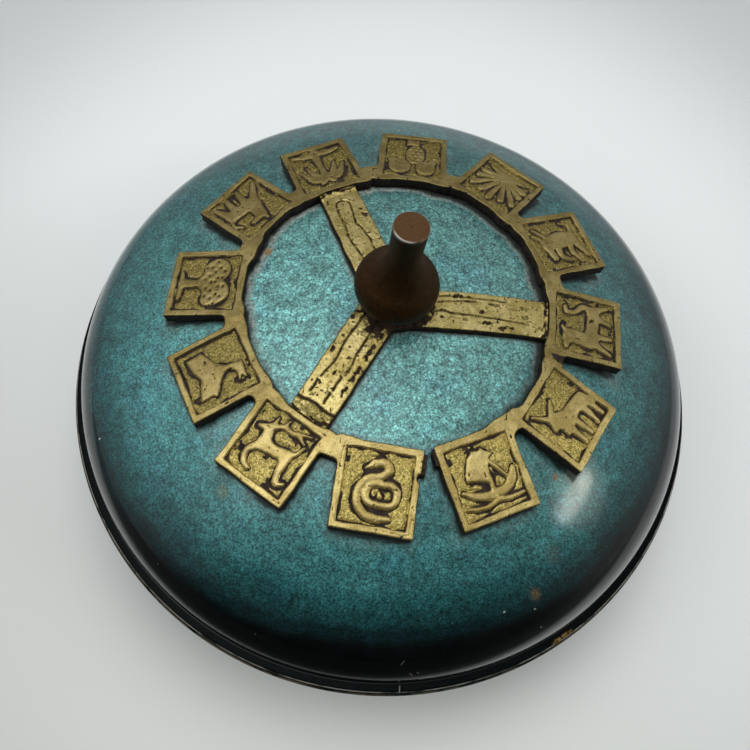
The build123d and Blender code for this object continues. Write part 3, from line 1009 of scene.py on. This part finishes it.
class Look:
    """One node material or world, with short ways to add and join nodes."""

    def __init__(self, owner):
        owner.use_nodes = True
        self.owner, self.tree = owner, owner.node_tree
        self.tree.nodes.clear()
        self.place = self.add("ShaderNodeTexCoord").outputs["Object"]

    def add(self, kind, inputs=None, **settings):
        node = self.tree.nodes.new(kind)
        for name, value in settings.items():
            setattr(node, name, value)
        for name, value in (inputs or {}).items():
            self.put(node.inputs[name], value)
        return node

    def number(self, kind, output, inputs=None, **settings):
        """The number that a new node gives."""
        return Value(self, self.add(kind, inputs, **settings).outputs[output])

    def put(self, socket, value):
        if isinstance(value, Value):
            value = value.socket
        if isinstance(value, bpy.types.NodeSocket):
            self.tree.links.new(value, socket)
        elif isinstance(value, tuple) and len(value) == 3 and socket.type == "RGBA":
            socket.default_value = (*value, 1)
        else:
            socket.default_value = value

    def calc(self, operation, a, b=0.0, clamp=False):
        return self.number("ShaderNodeMath", 0, {0: a, 1: b}, operation=operation, use_clamp=clamp)

    def most(self, first, *others):
        """The highest of several numbers."""
        for other in others:
            first = self.calc("MAXIMUM", first, other)
        return first

    def noise(self, size_mm, detail=2.0, rough=0.5, stretch=(1, 1, 1), seed=0.0, warp=0.0):
        """Noise from 0 to 1, with features about size_mm across."""
        shift = {"Vector": self.place, "Scale": stretch, "Location": (seed, seed, seed)}
        return self.number("ShaderNodeTexNoise", "Fac", {
            "Vector": self.add("ShaderNodeMapping", shift).outputs[0], "Scale": 1 / (size_mm * MM),
            "Detail": detail, "Roughness": rough, "Distortion": warp,
        })

    def specks(self, size_mm, middle, edge, strength):
        """Small round spots, one in each random cell about size_mm across."""
        inputs = {"Vector": self.place, "Scale": 1 / (size_mm * MM), "Randomness": 1.0}
        away = self.number("ShaderNodeTexVoronoi", "Distance", inputs, feature="F1")
        return away.span(middle, edge, strength, 0.0)

    def mix(self, share, a, b, blend="MIX"):
        inputs = {"Factor": share, 6: a, 7: b}
        return self.add("ShaderNodeMix", inputs, data_type="RGBA", blend_type=blend).outputs[2]

    def grey(self, value):
        return self.add("ShaderNodeCombineColor", {0: value, 1: value, 2: value}).outputs[0]

    def tinted(self, colour, tint):
        """A colour multiplied by another colour, or by a number."""
        if isinstance(tint, Value):
            tint = self.grey(tint)
        return self.mix(1.0, colour, tint, "MULTIPLY")

    def tones(self, value, *stops):
        """Colour ramp with stops given as (position, colour)."""
        node = self.add("ShaderNodeValToRGB", {"Fac": value})
        node.color_ramp.interpolation = "EASE"
        elements = node.color_ramp.elements
        while len(elements) < len(stops):
            elements.new(0.5)
        for element, (position, colour) in zip(elements, stops):
            element.position = position
            element.color = (*colour, 1)
        return node.outputs["Color"]

    def mark(self, name):
        return self.number("ShaderNodeAttribute", "Fac", attribute_name=name)

    def axes(self):
        """Object x, y and z in millimetres."""
        split = self.add("ShaderNodeSeparateXYZ", {"Vector": self.place})
        return [Value(self, socket) * (1 / MM) for socket in split.outputs]

    def away(self, x, y, centre):
        """Plan distance in millimetres from a point."""
        dx, dy = x - centre[0], y - centre[1]
        return self.calc("SQRT", dx * dx + dy * dy)

    def stroke(self, x, y, centre, half_length, half_width, degrees):
        """1 on a thin ragged line about a centre, 0 away from it."""
        ahead, beside = math.cos(math.radians(degrees)), math.sin(math.radians(degrees))
        dx, dy = x - centre[0], y - centre[1]
        along = dx * ahead + dy * beside
        across = dy * ahead - dx * beside + (self.noise(0.8, 2, seed=degrees) - 0.5) * (2.0 * half_width)
        long_enough = abs(along).span(half_length * 0.6, half_length * 1.2, 1.0, 0.0)
        return long_enough * abs(across).span(half_width * 0.5, half_width * 1.2, 1.0, 0.0)

    def strokes(self, x, y, marks):
        """Several strokes together, each ending with its strength."""
        return self.most(0.0, *(self.stroke(x, y, *shape) * strength for *shape, strength in marks))

    def bump(self, height, depth_mm, strength=1.0, under=None):
        inputs = {"Height": height, "Distance": depth_mm * MM, "Strength": strength}
        if under is not None:
            inputs["Normal"] = under
        return self.add("ShaderNodeBump", inputs).outputs["Normal"]

    def surface(self, **inputs):
        named = {name.replace("_", " "): value for name, value in inputs.items()}
        return self.add("ShaderNodeBsdfPrincipled", named).outputs[0]

    def finish(self, **inputs):
        """Closes a material with one surface shader."""
        self.add("ShaderNodeOutputMaterial", {"Surface": self.surface(**inputs)})
        return self.owner


def new_look(name):
    return Look(bpy.data.materials.new(name))


def shade(colour, amount):
    return tuple(min(1.0, channel * amount) for channel in colour)


# Centre, radius and strength of brown stains, then thin marks as centre,
# half length, half width, direction in degrees and strength.
RUST_SPOTS = (
    ((-46.3, 18.4), 1.7, 0.9), ((58.8, -51.4), 0.9, 0.9), ((54.8, -87.4), 2.0, 0.34),
    ((60.0, -75.0), 3.2, 0.09), ((-49.0, -66.5), 2.2, 0.30),
)
PALE_MARKS = (
    ((44.9, -93.7), 0.35, 0.28, 0, 0.8), ((-34.0, 15.0), 0.25, 0.22, 0, 0.7),
    ((14.8, -119.6), 1.3, 0.22, 95, 0.35), ((22.0, -115.2), 1.7, 0.22, 17, 0.30),
    ((24.6, -114.6), 1.3, 0.18, 8, 0.26), ((13.9, -111.4), 0.9, 0.14, 60, 0.28),
    ((17.3, -114.5), 0.7, 0.16, 150, 0.34), ((19.4, -113.9), 0.3, 0.22, 0, 0.34),
    ((55.3, -91.7), 0.4, 0.3, 0, 0.5), ((58.6, -96.7), 0.3, 0.24, 0, 0.4),
    ((-97.8, -49.8), 0.35, 0.3, 40, 0.9),
)
DARK_MARKS = (
    ((-20.0, 3.0), 1.6, 0.7, 30, 0.5), ((66.0, -56.0), 2.2, 0.16, 20, 0.6),
    ((63.5, -49.5), 1.3, 0.14, 75, 0.5),
)
CHIP = ((69.9, -98.7), 4.2, 0.9, 36)
# Set off-centre towards the back, so the near side is painted black sooner: painted shade for the dark room
# reflected there, on top of the enamel's own black shoulder.
SHADE_CENTRE = (-3.0, 8.0)          # middle of the pale part of the enamel


def lid_look():
    """Teal flecked enamel, light in the middle and black at the shoulder, with painted light and shade."""
    look = new_look("lid_teal_enamel")
    x, y, z = look.axes()
    drift = (look.noise(30, 2, seed=3.0) - 0.5) * 7.0
    # The black shoulder is partly the enamel's own colour and partly painted shade, from the off-centre
    # middle.
    radius = look.away(x, y, SHADE_CENTRE) + drift
    body = look.tones(
        radius / 125,
        (0.00, (0.190, 0.465, 0.445)), (0.40, (0.175, 0.430, 0.412)), (0.54, (0.096, 0.295, 0.290)),
        (0.68, (0.063, 0.228, 0.228)), (0.776, (0.044, 0.172, 0.175)), (0.84, (0.017, 0.093, 0.098)),
        (0.872, (0.010, 0.056, 0.060)), (0.904, (0.0030, 0.019, 0.021)), (0.936, (0.0008, 0.0022, 0.0024)),
    )
    inside = look.away(x, y, RING_CENTRE).span(50, 60, 1.0, 0.0)
    speckle = look.noise(0.68, 3, 0.75, warp=0.4)
    fleck = speckle.span(0.34, 0.66, 0.34, 1.72)
    # A loose net of darker veins, plain inside the ring and faint outside.
    wobble = look.add("ShaderNodeTexNoise", {"Vector": look.place, "Scale": 520.0, "Detail": 3.0})
    bend = (0.0024, 0.0024, 0.0024)
    bent = look.add("ShaderNodeVectorMath", {0: wobble.outputs["Color"], 1: bend}, operation="MULTIPLY")
    net_place = look.add("ShaderNodeVectorMath", {0: look.place, 1: bent.outputs[0]}, operation="ADD")
    vein = look.number("ShaderNodeTexVoronoi", "Distance", {
        "Vector": net_place.outputs[0], "Scale": 400.0, "Randomness": 1.0,
    }, feature="DISTANCE_TO_EDGE")
    net = vein.span(0.0, 0.26, 0.50, 1.16)
    broken = look.noise(3.4, 3, 0.6, seed=18.0).span(0.34, 0.62, 0.15, 1.0)
    net_share = broken * inside.span(0, 1, 0.45, 0.90)
    pearl = look.mix(net_share, (1.0, 1.0, 1.0), look.grey(net))
    mottle = look.noise(1.7, 3, 0.65, seed=28.0).span(0.32, 0.68, 0.80, 1.20)
    patchy = look.noise(5, 3, 0.6, seed=8.0).span(0.3, 0.7, 0.74, 1.22) * mottle
    broad = look.noise(24, 2, 0.5, seed=4.0).span(0.3, 0.7, 0.90, 1.10)
    tone = fleck * patchy * broad
    # Painted light: the front of the inner disc is painted paler than its back.
    frontward = x * -0.40 + y * -0.92
    tone = tone * frontward.span(-55, 65, 0.70, 1.25)
    colour = look.tinted(body, tone)
    colour = look.tinted(colour, pearl)
    bluer = look.noise(11, 2, 0.5, seed=12.0).span(0.5, 0.72, 0.0, 0.45)
    colour = look.mix(bluer, colour, look.tinted(colour, (0.82, 0.93, 1.12)))

    halo = look.mark("halo") * look.noise(1.4, 3, 0.6, seed=5.0).span(0.25, 0.6, 0.45, 1.0)
    paler = look.noise(0.9, 3, 0.6, seed=15.0).span(0.3, 0.7)
    pale = look.mix(paler, (0.11, 0.12, 0.105), (0.46, 0.48, 0.44))
    colour = look.mix(halo * 0.9, colour, pale)
    # Painted shadow: the enamel turns near-black where the ring and straps shade it.
    grime = look.mark("grime")
    colour = look.mix(grime * 0.9, colour, (0.008, 0.009, 0.008))

    spots = []
    for centre, size, strength in RUST_SPOTS:
        ragged = look.away(x, y, centre) + look.noise(1.2, 2, seed=size) * 1.2
        spots.append(ragged.span(size * 0.4 + 0.4, size * 1.3 + 0.8, strength, 0.0))
    rust = look.most(0.0, *spots)
    rust_colour = look.tones(look.noise(0.5, 2), (0.35, (0.10, 0.04, 0.012)), (0.6, (0.42, 0.22, 0.05)))
    colour = look.mix(rust, colour, rust_colour)

    smudged = look.strokes(x, y, DARK_MARKS)
    colour = look.mix(smudged, colour, (0.004, 0.008, 0.008))
    scratched = look.strokes(x, y, PALE_MARKS)

    # Bare metal along the flange's folded edge, where the enamel stops.
    edge = look.away(x, y, (0.0, 0.0))
    flange = edge.span(WALL_RADIUS + 0.1, WALL_RADIUS + 0.6)
    near_seam = z.span(SEAM + 0.75, SEAM + 0.95)
    at_rim = edge.span(LID_RIM - 0.45, LID_RIM - 0.25)
    worn = look.noise(9, 3, 0.7, seed=2.0).span(0.38, 0.60, 0.10, 1.0)
    bare = near_seam * at_rim * worn
    colour = look.mix(bare, colour, (0.46, 0.44, 0.39))
    chip = look.stroke(x, y, *CHIP) * flange * look.noise(1.7, 3, 0.7, seed=21.0).span(0.40, 0.52)
    chip_colour = look.mix(look.noise(1.2, 2).span(0.4, 0.6), (0.16, 0.10, 0.02), (0.30, 0.19, 0.06))
    colour = look.mix(chip, colour, chip_colour)
    bare = look.most(bare, chip)

    dust = look.specks(7.5, 0.018, 0.034, 0.8)
    colour = look.mix(dust * 0.7, colour, (0.5, 0.5, 0.48))

    colour = look.mix(scratched, colour, (0.62, 0.62, 0.58))

    dull = look.most(halo, rust, grime, smudged, scratched)
    smear = look.noise(14, 4, 0.65, seed=6.0).span(0.35, 0.7)
    normal = look.bump(speckle, 0.010, 0.5)
    normal = look.bump(look.noise(3.0, 2, seed=9.0), 0.010, 0.5, under=normal)
    return look.finish(
        Base_Color=colour,
        Metallic=look.most(bare * 0.3, dull.span(0, 1, 0.5, 0.0)),
        Roughness=dull.span(0, 1, 0.52, 0.62) + smear * 0.08,
        Specular_IOR_Level=flange.span(0, 1, 0.5, 0.10),
        Coat_Weight=look.most(dull, bare).span(0, 1, 1.0, 0.15) * flange.span(0, 1, 1.0, 0.08),
        Coat_Roughness=smear.span(0, 1, 0.05, 0.13),
        Coat_IOR=1.5,
        Normal=normal,
        IOR=1.45,
    )


def bowl_look():
    """Black enamel with a teal cast and a bare metal line at the flange."""
    look = new_look("bowl_black_enamel")
    x, y, z = look.axes()
    cloud = look.noise(22, 3, 0.6)
    colour = look.mix(cloud.span(0.4, 0.7), (0.0025, 0.004, 0.0045), (0.006, 0.014, 0.015))
    inside_speckle = look.noise(0.7, 3, 0.7).span(0.35, 0.7, 0.6, 1.5)
    colour = look.tinted(colour, inside_speckle)
    radius = look.away(x, y, (0.0, 0.0))
    at_rim = radius.span(BOWL_RIM - 0.7, BOWL_RIM - 0.4)
    near_seam = z.span(SEAM - 1.0, SEAM - 0.4)
    worn = look.noise(9, 3, 0.7, seed=1.0).span(0.38, 0.58, 0.0, 0.25)
    flange = radius.span(WALL_RADIUS + 0.1, WALL_RADIUS + 0.6)
    bare = at_rim * near_seam * worn
    colour = look.mix(bare, colour, (0.48, 0.40, 0.28))
    dust = look.specks(6.5, 0.018, 0.034, 0.8)
    colour = look.mix(dust * 0.5, colour, (0.5, 0.5, 0.48))
    normal = look.bump(look.noise(3.0, 2), 0.012, 0.5)
    return look.finish(
        Base_Color=colour, Metallic=bare * 0.6,
        Roughness=cloud.span(0.3, 0.7, 0.26, 0.36), Specular_IOR_Level=flange.span(0, 1, 0.5, 0.10),
        Coat_Weight=flange.span(0, 1, 1.0, 0.08), Coat_Roughness=0.06, Normal=normal,
    )


def brass_look(name, gold, bright, olive, patina, speckling, far_side_shade, near_side_light):
    """Antiqued cast brass, with painted light: darker on the far side and lighter on the near.

    The dirt mark is 1 where black, near 0.35 on olive floors, 0 on plain
    metal and below 0 on worn edges.
    """
    look = new_look(name)
    x, y, _ = look.axes()
    # Painted light: the brass is tinted darker towards the back and lighter towards the front, as the light
    # falls.
    nearer = x * 0.17 - y * 0.98
    painted_side_light = nearer.span(16, 60, far_side_shade, near_side_light)
    dirt = look.mark("dirt")
    wide = look.noise(9, 3, 0.6)
    fine = look.noise(0.42, 3, 0.7, seed=2.0)
    mid = look.noise(2.2, 3, 0.6, seed=5.0)
    metal = look.mix(wide.span(0.35, 0.65), gold, shade(bright, 0.9))
    tarnish = mid.span(0.50, 0.74, 0.0, 0.5)
    metal = look.mix(tarnish, metal, shade(gold, 0.55))
    metal = look.mix(fine.span(0.30, 0.50, speckling, 0.0), metal, shade(gold, 0.30))
    metal = look.mix(fine.span(0.54, 0.68, 0.0, 0.6), metal, bright)
    worn = dirt.span(-0.05, -0.5, 0.0, 0.9)
    metal = look.mix(worn, metal, bright)
    floor_share = dirt.span(0.14, 0.30)
    grit = look.noise(0.8, 3, 0.75, seed=9.0, warp=0.5)
    floor = look.mix(fine.span(0.36, 0.62), shade(olive, 0.30), shade(olive, 1.45))
    floor = look.mix(grit.span(0.42, 0.52, 0.75, 0.0), floor, shade(olive, 0.28))
    floor = look.mix(grit.span(0.54, 0.64, 0.0, 0.75), floor, shade(bright, 0.95))
    floor = look.mix(mid.span(0.4, 0.7, 0.0, 0.4), floor, shade(olive, 0.75))
    metal = look.mix(floor_share, metal, floor)
    metal = look.tinted(metal, painted_side_light)
    loose = (fine - 0.5) * 0.5
    black = (dirt + loose).span(0.47, 0.66)
    dark = look.mix(mid.span(0.4, 0.7), patina, shade(patina, 2.6))
    colour = look.mix(black, metal, dark)
    normal = look.bump(fine, 0.10, 0.5)
    normal = look.bump(mid, 0.10, 0.3, under=normal)
    rough = black.span(0, 1, 0.40, 0.72) + worn.span(0, 1, 0.0, -0.10)
    rough = rough + floor_share * 0.10
    return look.finish(
        Base_Color=colour,
        Metallic=black.span(0, 1, 0.92, 0.2),
        Roughness=rough,
        Normal=normal,
    )


def turned_brass_look():
    """Plain dulled brass for the foot, collar, washer and screw."""
    look = new_look("turned_brass")
    rings = look.noise(1.2, 2, 0.5, stretch=(0.05, 0.05, 1.6))
    cloud = look.noise(16, 4, 0.6)
    colour = look.mix(cloud.span(0.35, 0.7), (0.66, 0.46, 0.19), (0.40, 0.26, 0.10))
    spots = look.noise(1.6, 3, 0.6, seed=3.0).span(0.60, 0.72, 0.0, 0.7)
    colour = look.mix(spots, colour, (0.10, 0.06, 0.03))
    return look.finish(
        Base_Color=colour, Metallic=0.95,
        Roughness=cloud.span(0.3, 0.7, 0.30, 0.46) + rings * 0.08,
        Normal=look.bump(rings, 0.03, 0.5),
    )


def wood_look():
    """Dark stained turned wood with long grain, an end-grain top and a painted highlight on its lip."""
    look = new_look("knob_dark_wood")
    x, y, z = look.axes()
    grain = look.noise(1.1, 4, 0.6, stretch=(1, 1, 0.06), warp=0.3)
    pores = look.noise(0.45, 2, 0.6, stretch=(1, 1, 0.05), seed=2.0).span(0.58, 0.70)
    cloud = look.noise(9, 3, 0.6, seed=4.0)
    colour = look.mix(grain.span(0.35, 0.68), (0.0100, 0.0038, 0.0007), (0.0250, 0.0100, 0.0020))
    colour = look.mix(cloud.span(0.4, 0.7, 0.0, 0.5), colour, (0.026, 0.011, 0.003))
    colour = look.mix(pores * 0.7, colour, (0.003, 0.0015, 0.0008))
    top_height = KNOB_BASE + KNOB_RISE
    top = z.span(top_height - 0.9, top_height - 0.35)
    lean = math.sin(KNOB_LEAN) * KNOB_LENGTH
    from_middle = look.away(x, y, (lean, 0.0))
    rings = look.noise(0.5, 3, 0.6, seed=7.0)
    end_grain = look.mix(rings.span(0.35, 0.7), (0.066, 0.033, 0.015), (0.088, 0.046, 0.022))
    centre_mark = from_middle.span(0.25, 0.6, 0.55, 0.0)
    end_grain = look.mix(centre_mark, end_grain, (0.03, 0.012, 0.006))
    worn_lip = from_middle.span(KNOB_TOP_RADIUS - 0.55, KNOB_TOP_RADIUS - 0.15, 0.0, 0.55)
    worn_lip = worn_lip * z.span(top_height - 1.4, top_height - 1.0)
    end_grain = look.mix(worn_lip, end_grain, (0.12, 0.055, 0.03))
    # Painted highlight: a pale crescent on the lip towards the front left, standing in for a reflection.
    to_front_left = (x - lean) * -0.45 + y * -0.89
    painted_highlight = worn_lip * to_front_left.span(3.4, 5.0, 0.0, 1.2)
    end_grain = look.mix(painted_highlight, end_grain, (0.62, 0.55, 0.50))
    colour = look.mix(top, colour, end_grain)
    dust = look.specks(2.6, 0.03, 0.06, 0.5)
    colour = look.mix(dust * 0.35, colour, (0.3, 0.24, 0.18))
    normal = look.bump(grain, 0.02, 0.5)
    normal = look.bump(pores, -0.015, 0.5, under=normal)
    return look.finish(
        Base_Color=colour, Roughness=cloud.span(0.3, 0.7, 0.60, 0.68),
        Specular_IOR_Level=0.34, Specular_Tint=(1.0, 0.66, 0.34),
        Coat_Weight=look.calc("MULTIPLY", worn_lip, 1.8, clamp=True),
        Coat_Roughness=0.10, Coat_IOR=1.7, Normal=normal,
    )


def felt_look():
    look = new_look("foot_green_felt")
    fuzz = look.noise(0.35, 4, 0.75)
    blotch = look.noise(5, 3, 0.6)
    colour = look.mix(fuzz.span(0.3, 0.7), (0.010, 0.028, 0.018), (0.045, 0.085, 0.058))
    colour = look.mix(blotch.span(0.45, 0.7, 0.0, 0.4), colour, (0.05, 0.07, 0.055))
    return look.finish(
        Base_Color=colour, Roughness=0.95, Sheen_Weight=0.6, Sheen_Roughness=0.5,
        Normal=look.bump(fuzz, 0.15, 0.8),
    )


def wear(piece, material):
    piece.data.materials.clear()
    piece.data.materials.append(material)


# --------------------------------------------------- floor, light, camera

def table_look():
    look = new_look("pale_table")
    cloud = look.noise(180, 3, 0.5)
    colour = look.mix(cloud, (0.735, 0.76, 0.765), (0.76, 0.785, 0.79))
    x, y, _ = look.axes()
    # The light falls off away from the dish, and gets warmer to the front.
    far_off = look.away(x, y, (10.0, 40.0))
    colour = look.mix(far_off.span(165, 330), colour, (0.50, 0.523, 0.533))
    warm = (y + x * 0.4).span(60, -160)
    colour = look.mix(warm, colour, look.tinted(colour, (0.895, 0.880, 0.850)))
    # The table's front part is in the viewer's shade, which only shows in
    # reflections because the camera doesn't see that far forward.
    mirrored = look.number("ShaderNodeLightPath", "Is Glossy Ray")
    forward = y * -1.0 - x * 0.15
    shaded = mirrored * forward.span(112, 175)
    colour = look.mix(shaded, colour, (0.004, 0.004, 0.004))
    top = look.surface(Base_Color=colour, Roughness=0.6, Normal=look.bump(look.noise(1.5, 2), 0.01, 0.3))
    # A view from underneath sees through the table.
    below = look.add("ShaderNodeNewGeometry").outputs["Backfacing"]
    clear = look.add("ShaderNodeBsdfTransparent").outputs[0]
    either = look.add("ShaderNodeMixShader", {0: below, 1: top, 2: clear}).outputs[0]
    look.add("ShaderNodeOutputMaterial", {"Surface": either})
    return look.owner


TABLE_HALF = 9000.0         # wide enough that its edge is far behind the dish


def add_floor():
    corners = np.array([(-1, -1, 0), (1, -1, 0), (1, 1, 0), (-1, 1, 0)]) * TABLE_HALF
    floor = make_mesh("table_top", corners, [(0, 1, 2, 3)])
    wear(floor, table_look())


def direction(azimuth, elevation):
    """Unit vector; azimuth 0 is +Y and 90 is +X, in degrees."""
    a, e = math.radians(azimuth), math.radians(elevation)
    return (math.sin(a) * math.cos(e), math.cos(a) * math.cos(e), math.sin(e))


def cosine(degrees):
    return math.cos(math.radians(degrees))


# Azimuth and elevation in degrees, the cosines where a glow starts and is
# full, and its strength. The viewer is a dark part of the room.
DIM_ROOM = 0.24
ROOM_GLOWS = ((-110, 71, 0.50, 0.95, 0.34), (-110, 71, 0.84, 1.0, 0.90), (62, 35, 0.72, 0.98, 0.20))
VIEWER = (176, 8, 0.37, 0.76)
WINDOW = (102, 33, cosine(10), cosine(1))
PANES = ((98.5, 32.5), (102, 33), (105.5, 33.5), (109, 34))
WINDOW_GLOWS = (
    (*WINDOW, 1.6), *((*pane, cosine(3.2), cosine(1), 5.2) for pane in PANES), (-80, 12, 0.80, 0.99, 0.10),
)
BACKDROP = 0.5


def add_surroundings():
    """A soft grey room: bright overhead, dark towards the viewer."""
    world = bpy.data.worlds.new("soft_room")
    bpy.context.scene.world = world
    room = Look(world)
    toward = room.add("ShaderNodeTexCoord").outputs["Generated"]

    def facing(azimuth, elevation, start, end):
        inputs = {0: toward, 1: direction(azimuth, elevation)}
        return room.number("ShaderNodeVectorMath", "Value", inputs, operation="DOT_PRODUCT").span(start, end)

    def lit(level, glows):
        for *place_and_reach, strength in glows:
            level = level + facing(*place_and_reach) * strength
        return level

    level = lit(DIM_ROOM, ROOM_GLOWS) * (1.0 - facing(*VIEWER))
    level = lit(level, WINDOW_GLOWS)
    tint = room.mix(facing(*WINDOW), (0.97, 1.0, 1.0), (1.0, 1.0, 0.86))
    # Seen directly, past the table's edge, the room is a plain pale backdrop.
    seen = room.number("ShaderNodeLightPath", "Is Camera Ray")
    level = level * (1.0 - seen) + seen * BACKDROP
    glow = room.add("ShaderNodeBackground", {"Color": tint, "Strength": level})
    room.add("ShaderNodeOutputWorld", {"Surface": glow.outputs[0]})


# Name, place and size in metres, power in watts and colour.
SOFTBOXES = (
    ("overhead_softbox", (0.0, 0.50, 1.4), 1.0, 8.3, (1.0, 1.0, 0.99)),
    ("right_softbox", (1.3, 0.1, 0.9), 0.8, 4.3, (1.0, 0.99, 0.97)),
    ("left_softbox", (-1.2, 0.0, 1.1), 0.9, 5.2, (0.97, 1.0, 1.0)),
)


def add_softbox(name, place, size, power, colour):
    """Large soft lamp aimed at the dish, unseen in reflections."""
    data = bpy.data.lights.new(name, "AREA")
    data.shape = "DISK"
    data.size = size
    data.energy = power
    data.color = colour
    lamp = bpy.data.objects.new(name, data)
    bpy.context.scene.collection.objects.link(lamp)
    lamp.location = place
    aim = Vector((0, 0, 0.05)) - Vector(place)
    lamp.rotation_euler = aim.to_track_quat("-Z", "Y").to_euler()
    lamp.visible_glossy = False


# The camera, placed in the dish's frame: millimetres and degrees.
CAMERA_PLACE = (-7.3, -110.1, 250.8)       # from the middle of the seam
CAMERA_DOWN = 65.24
CAMERA_ROLL = 5.72
CAMERA_LENS = 32.12
CAMERA_SHIFT = (0.0104, -0.0403)


def add_camera():
    data = bpy.data.cameras.new("camera")
    data.lens = CAMERA_LENS
    data.sensor_width = 36
    data.shift_x, data.shift_y = CAMERA_SHIFT
    data.clip_start = 0.01
    camera = bpy.data.objects.new("camera", data)
    bpy.context.scene.collection.objects.link(camera)
    down, roll = math.radians(CAMERA_DOWN), math.radians(CAMERA_ROLL)
    ahead = Vector((0, math.cos(down), -math.sin(down)))
    right = Vector((1, 0, 0))
    up = right.cross(ahead)
    side = right * math.cos(roll) + up * math.sin(roll)
    top = up * math.cos(roll) - right * math.sin(roll)
    turn = Matrix((side, top, -ahead)).transposed().to_4x4()
    place = (Vector(CAMERA_PLACE) + Vector((0, 0, SEAM))) * MM
    camera.matrix_world = Matrix.Translation(place) @ turn
    bpy.context.scene.camera = camera


# ---------------------------------------------------------------- assembly

CASTING_STEP = 0.28
RING_REACH, STRAP_REACH = 86, 58            # half widths of the areas that are meshed


def dress(piece, body, material, node):
    """Gives a new piece its look, body and slot, and hides the solid it stands for."""
    wear(piece, material)
    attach(piece, body)
    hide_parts(node)


# The last two numbers of each brass are painted light: far side darker, near side lighter.
cast_brass = brass_look(
    "cast_brass", (0.49, 0.362, 0.122), (0.86, 0.67, 0.275), (0.64, 0.50, 0.155), (0.020, 0.013, 0.010),
    0.55, far_side_shade=0.72, near_side_light=1.38,
)
strap_brass = brass_look(
    "strap_brass", (0.56, 0.43, 0.135), (0.92, 0.74, 0.32), (0.36, 0.285, 0.085), (0.024, 0.014, 0.008),
    0.8, far_side_shade=1.12, near_side_light=1.75,
)
plain_brass = turned_brass_look()

dress(build_lid(), "lid", lid_look(), "lid_shell")
dress(build_bowl(), "bowl", bowl_look(), "bowl_shell")
dress(build_knob(), "lid", wood_look(), "knob")
dress(build_felt(), "bowl", felt_look(), "foot_felt")
ring = slab("tile_ring_casting", RING_REACH, CASTING_STEP, ring_edge, ring_surface)
dress(ring, "lid", cast_brass, "tile_ring")
straps = slab("strap_casting", STRAP_REACH, CASTING_STEP, spider_edge, spider_surface)
dress(straps, "lid", strap_brass, "spoke_spider")
for node in ("foot_ring", "locating_collar", "screw_washer", "knob_screw"):
    wear(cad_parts[node], plain_brass)

add_floor()
add_surroundings()
for softbox in SOFTBOXES:
    add_softbox(*softbox)
add_camera()
bpy.context.scene.view_settings.view_transform = "Standard"

bpy.context.view_layer.update()
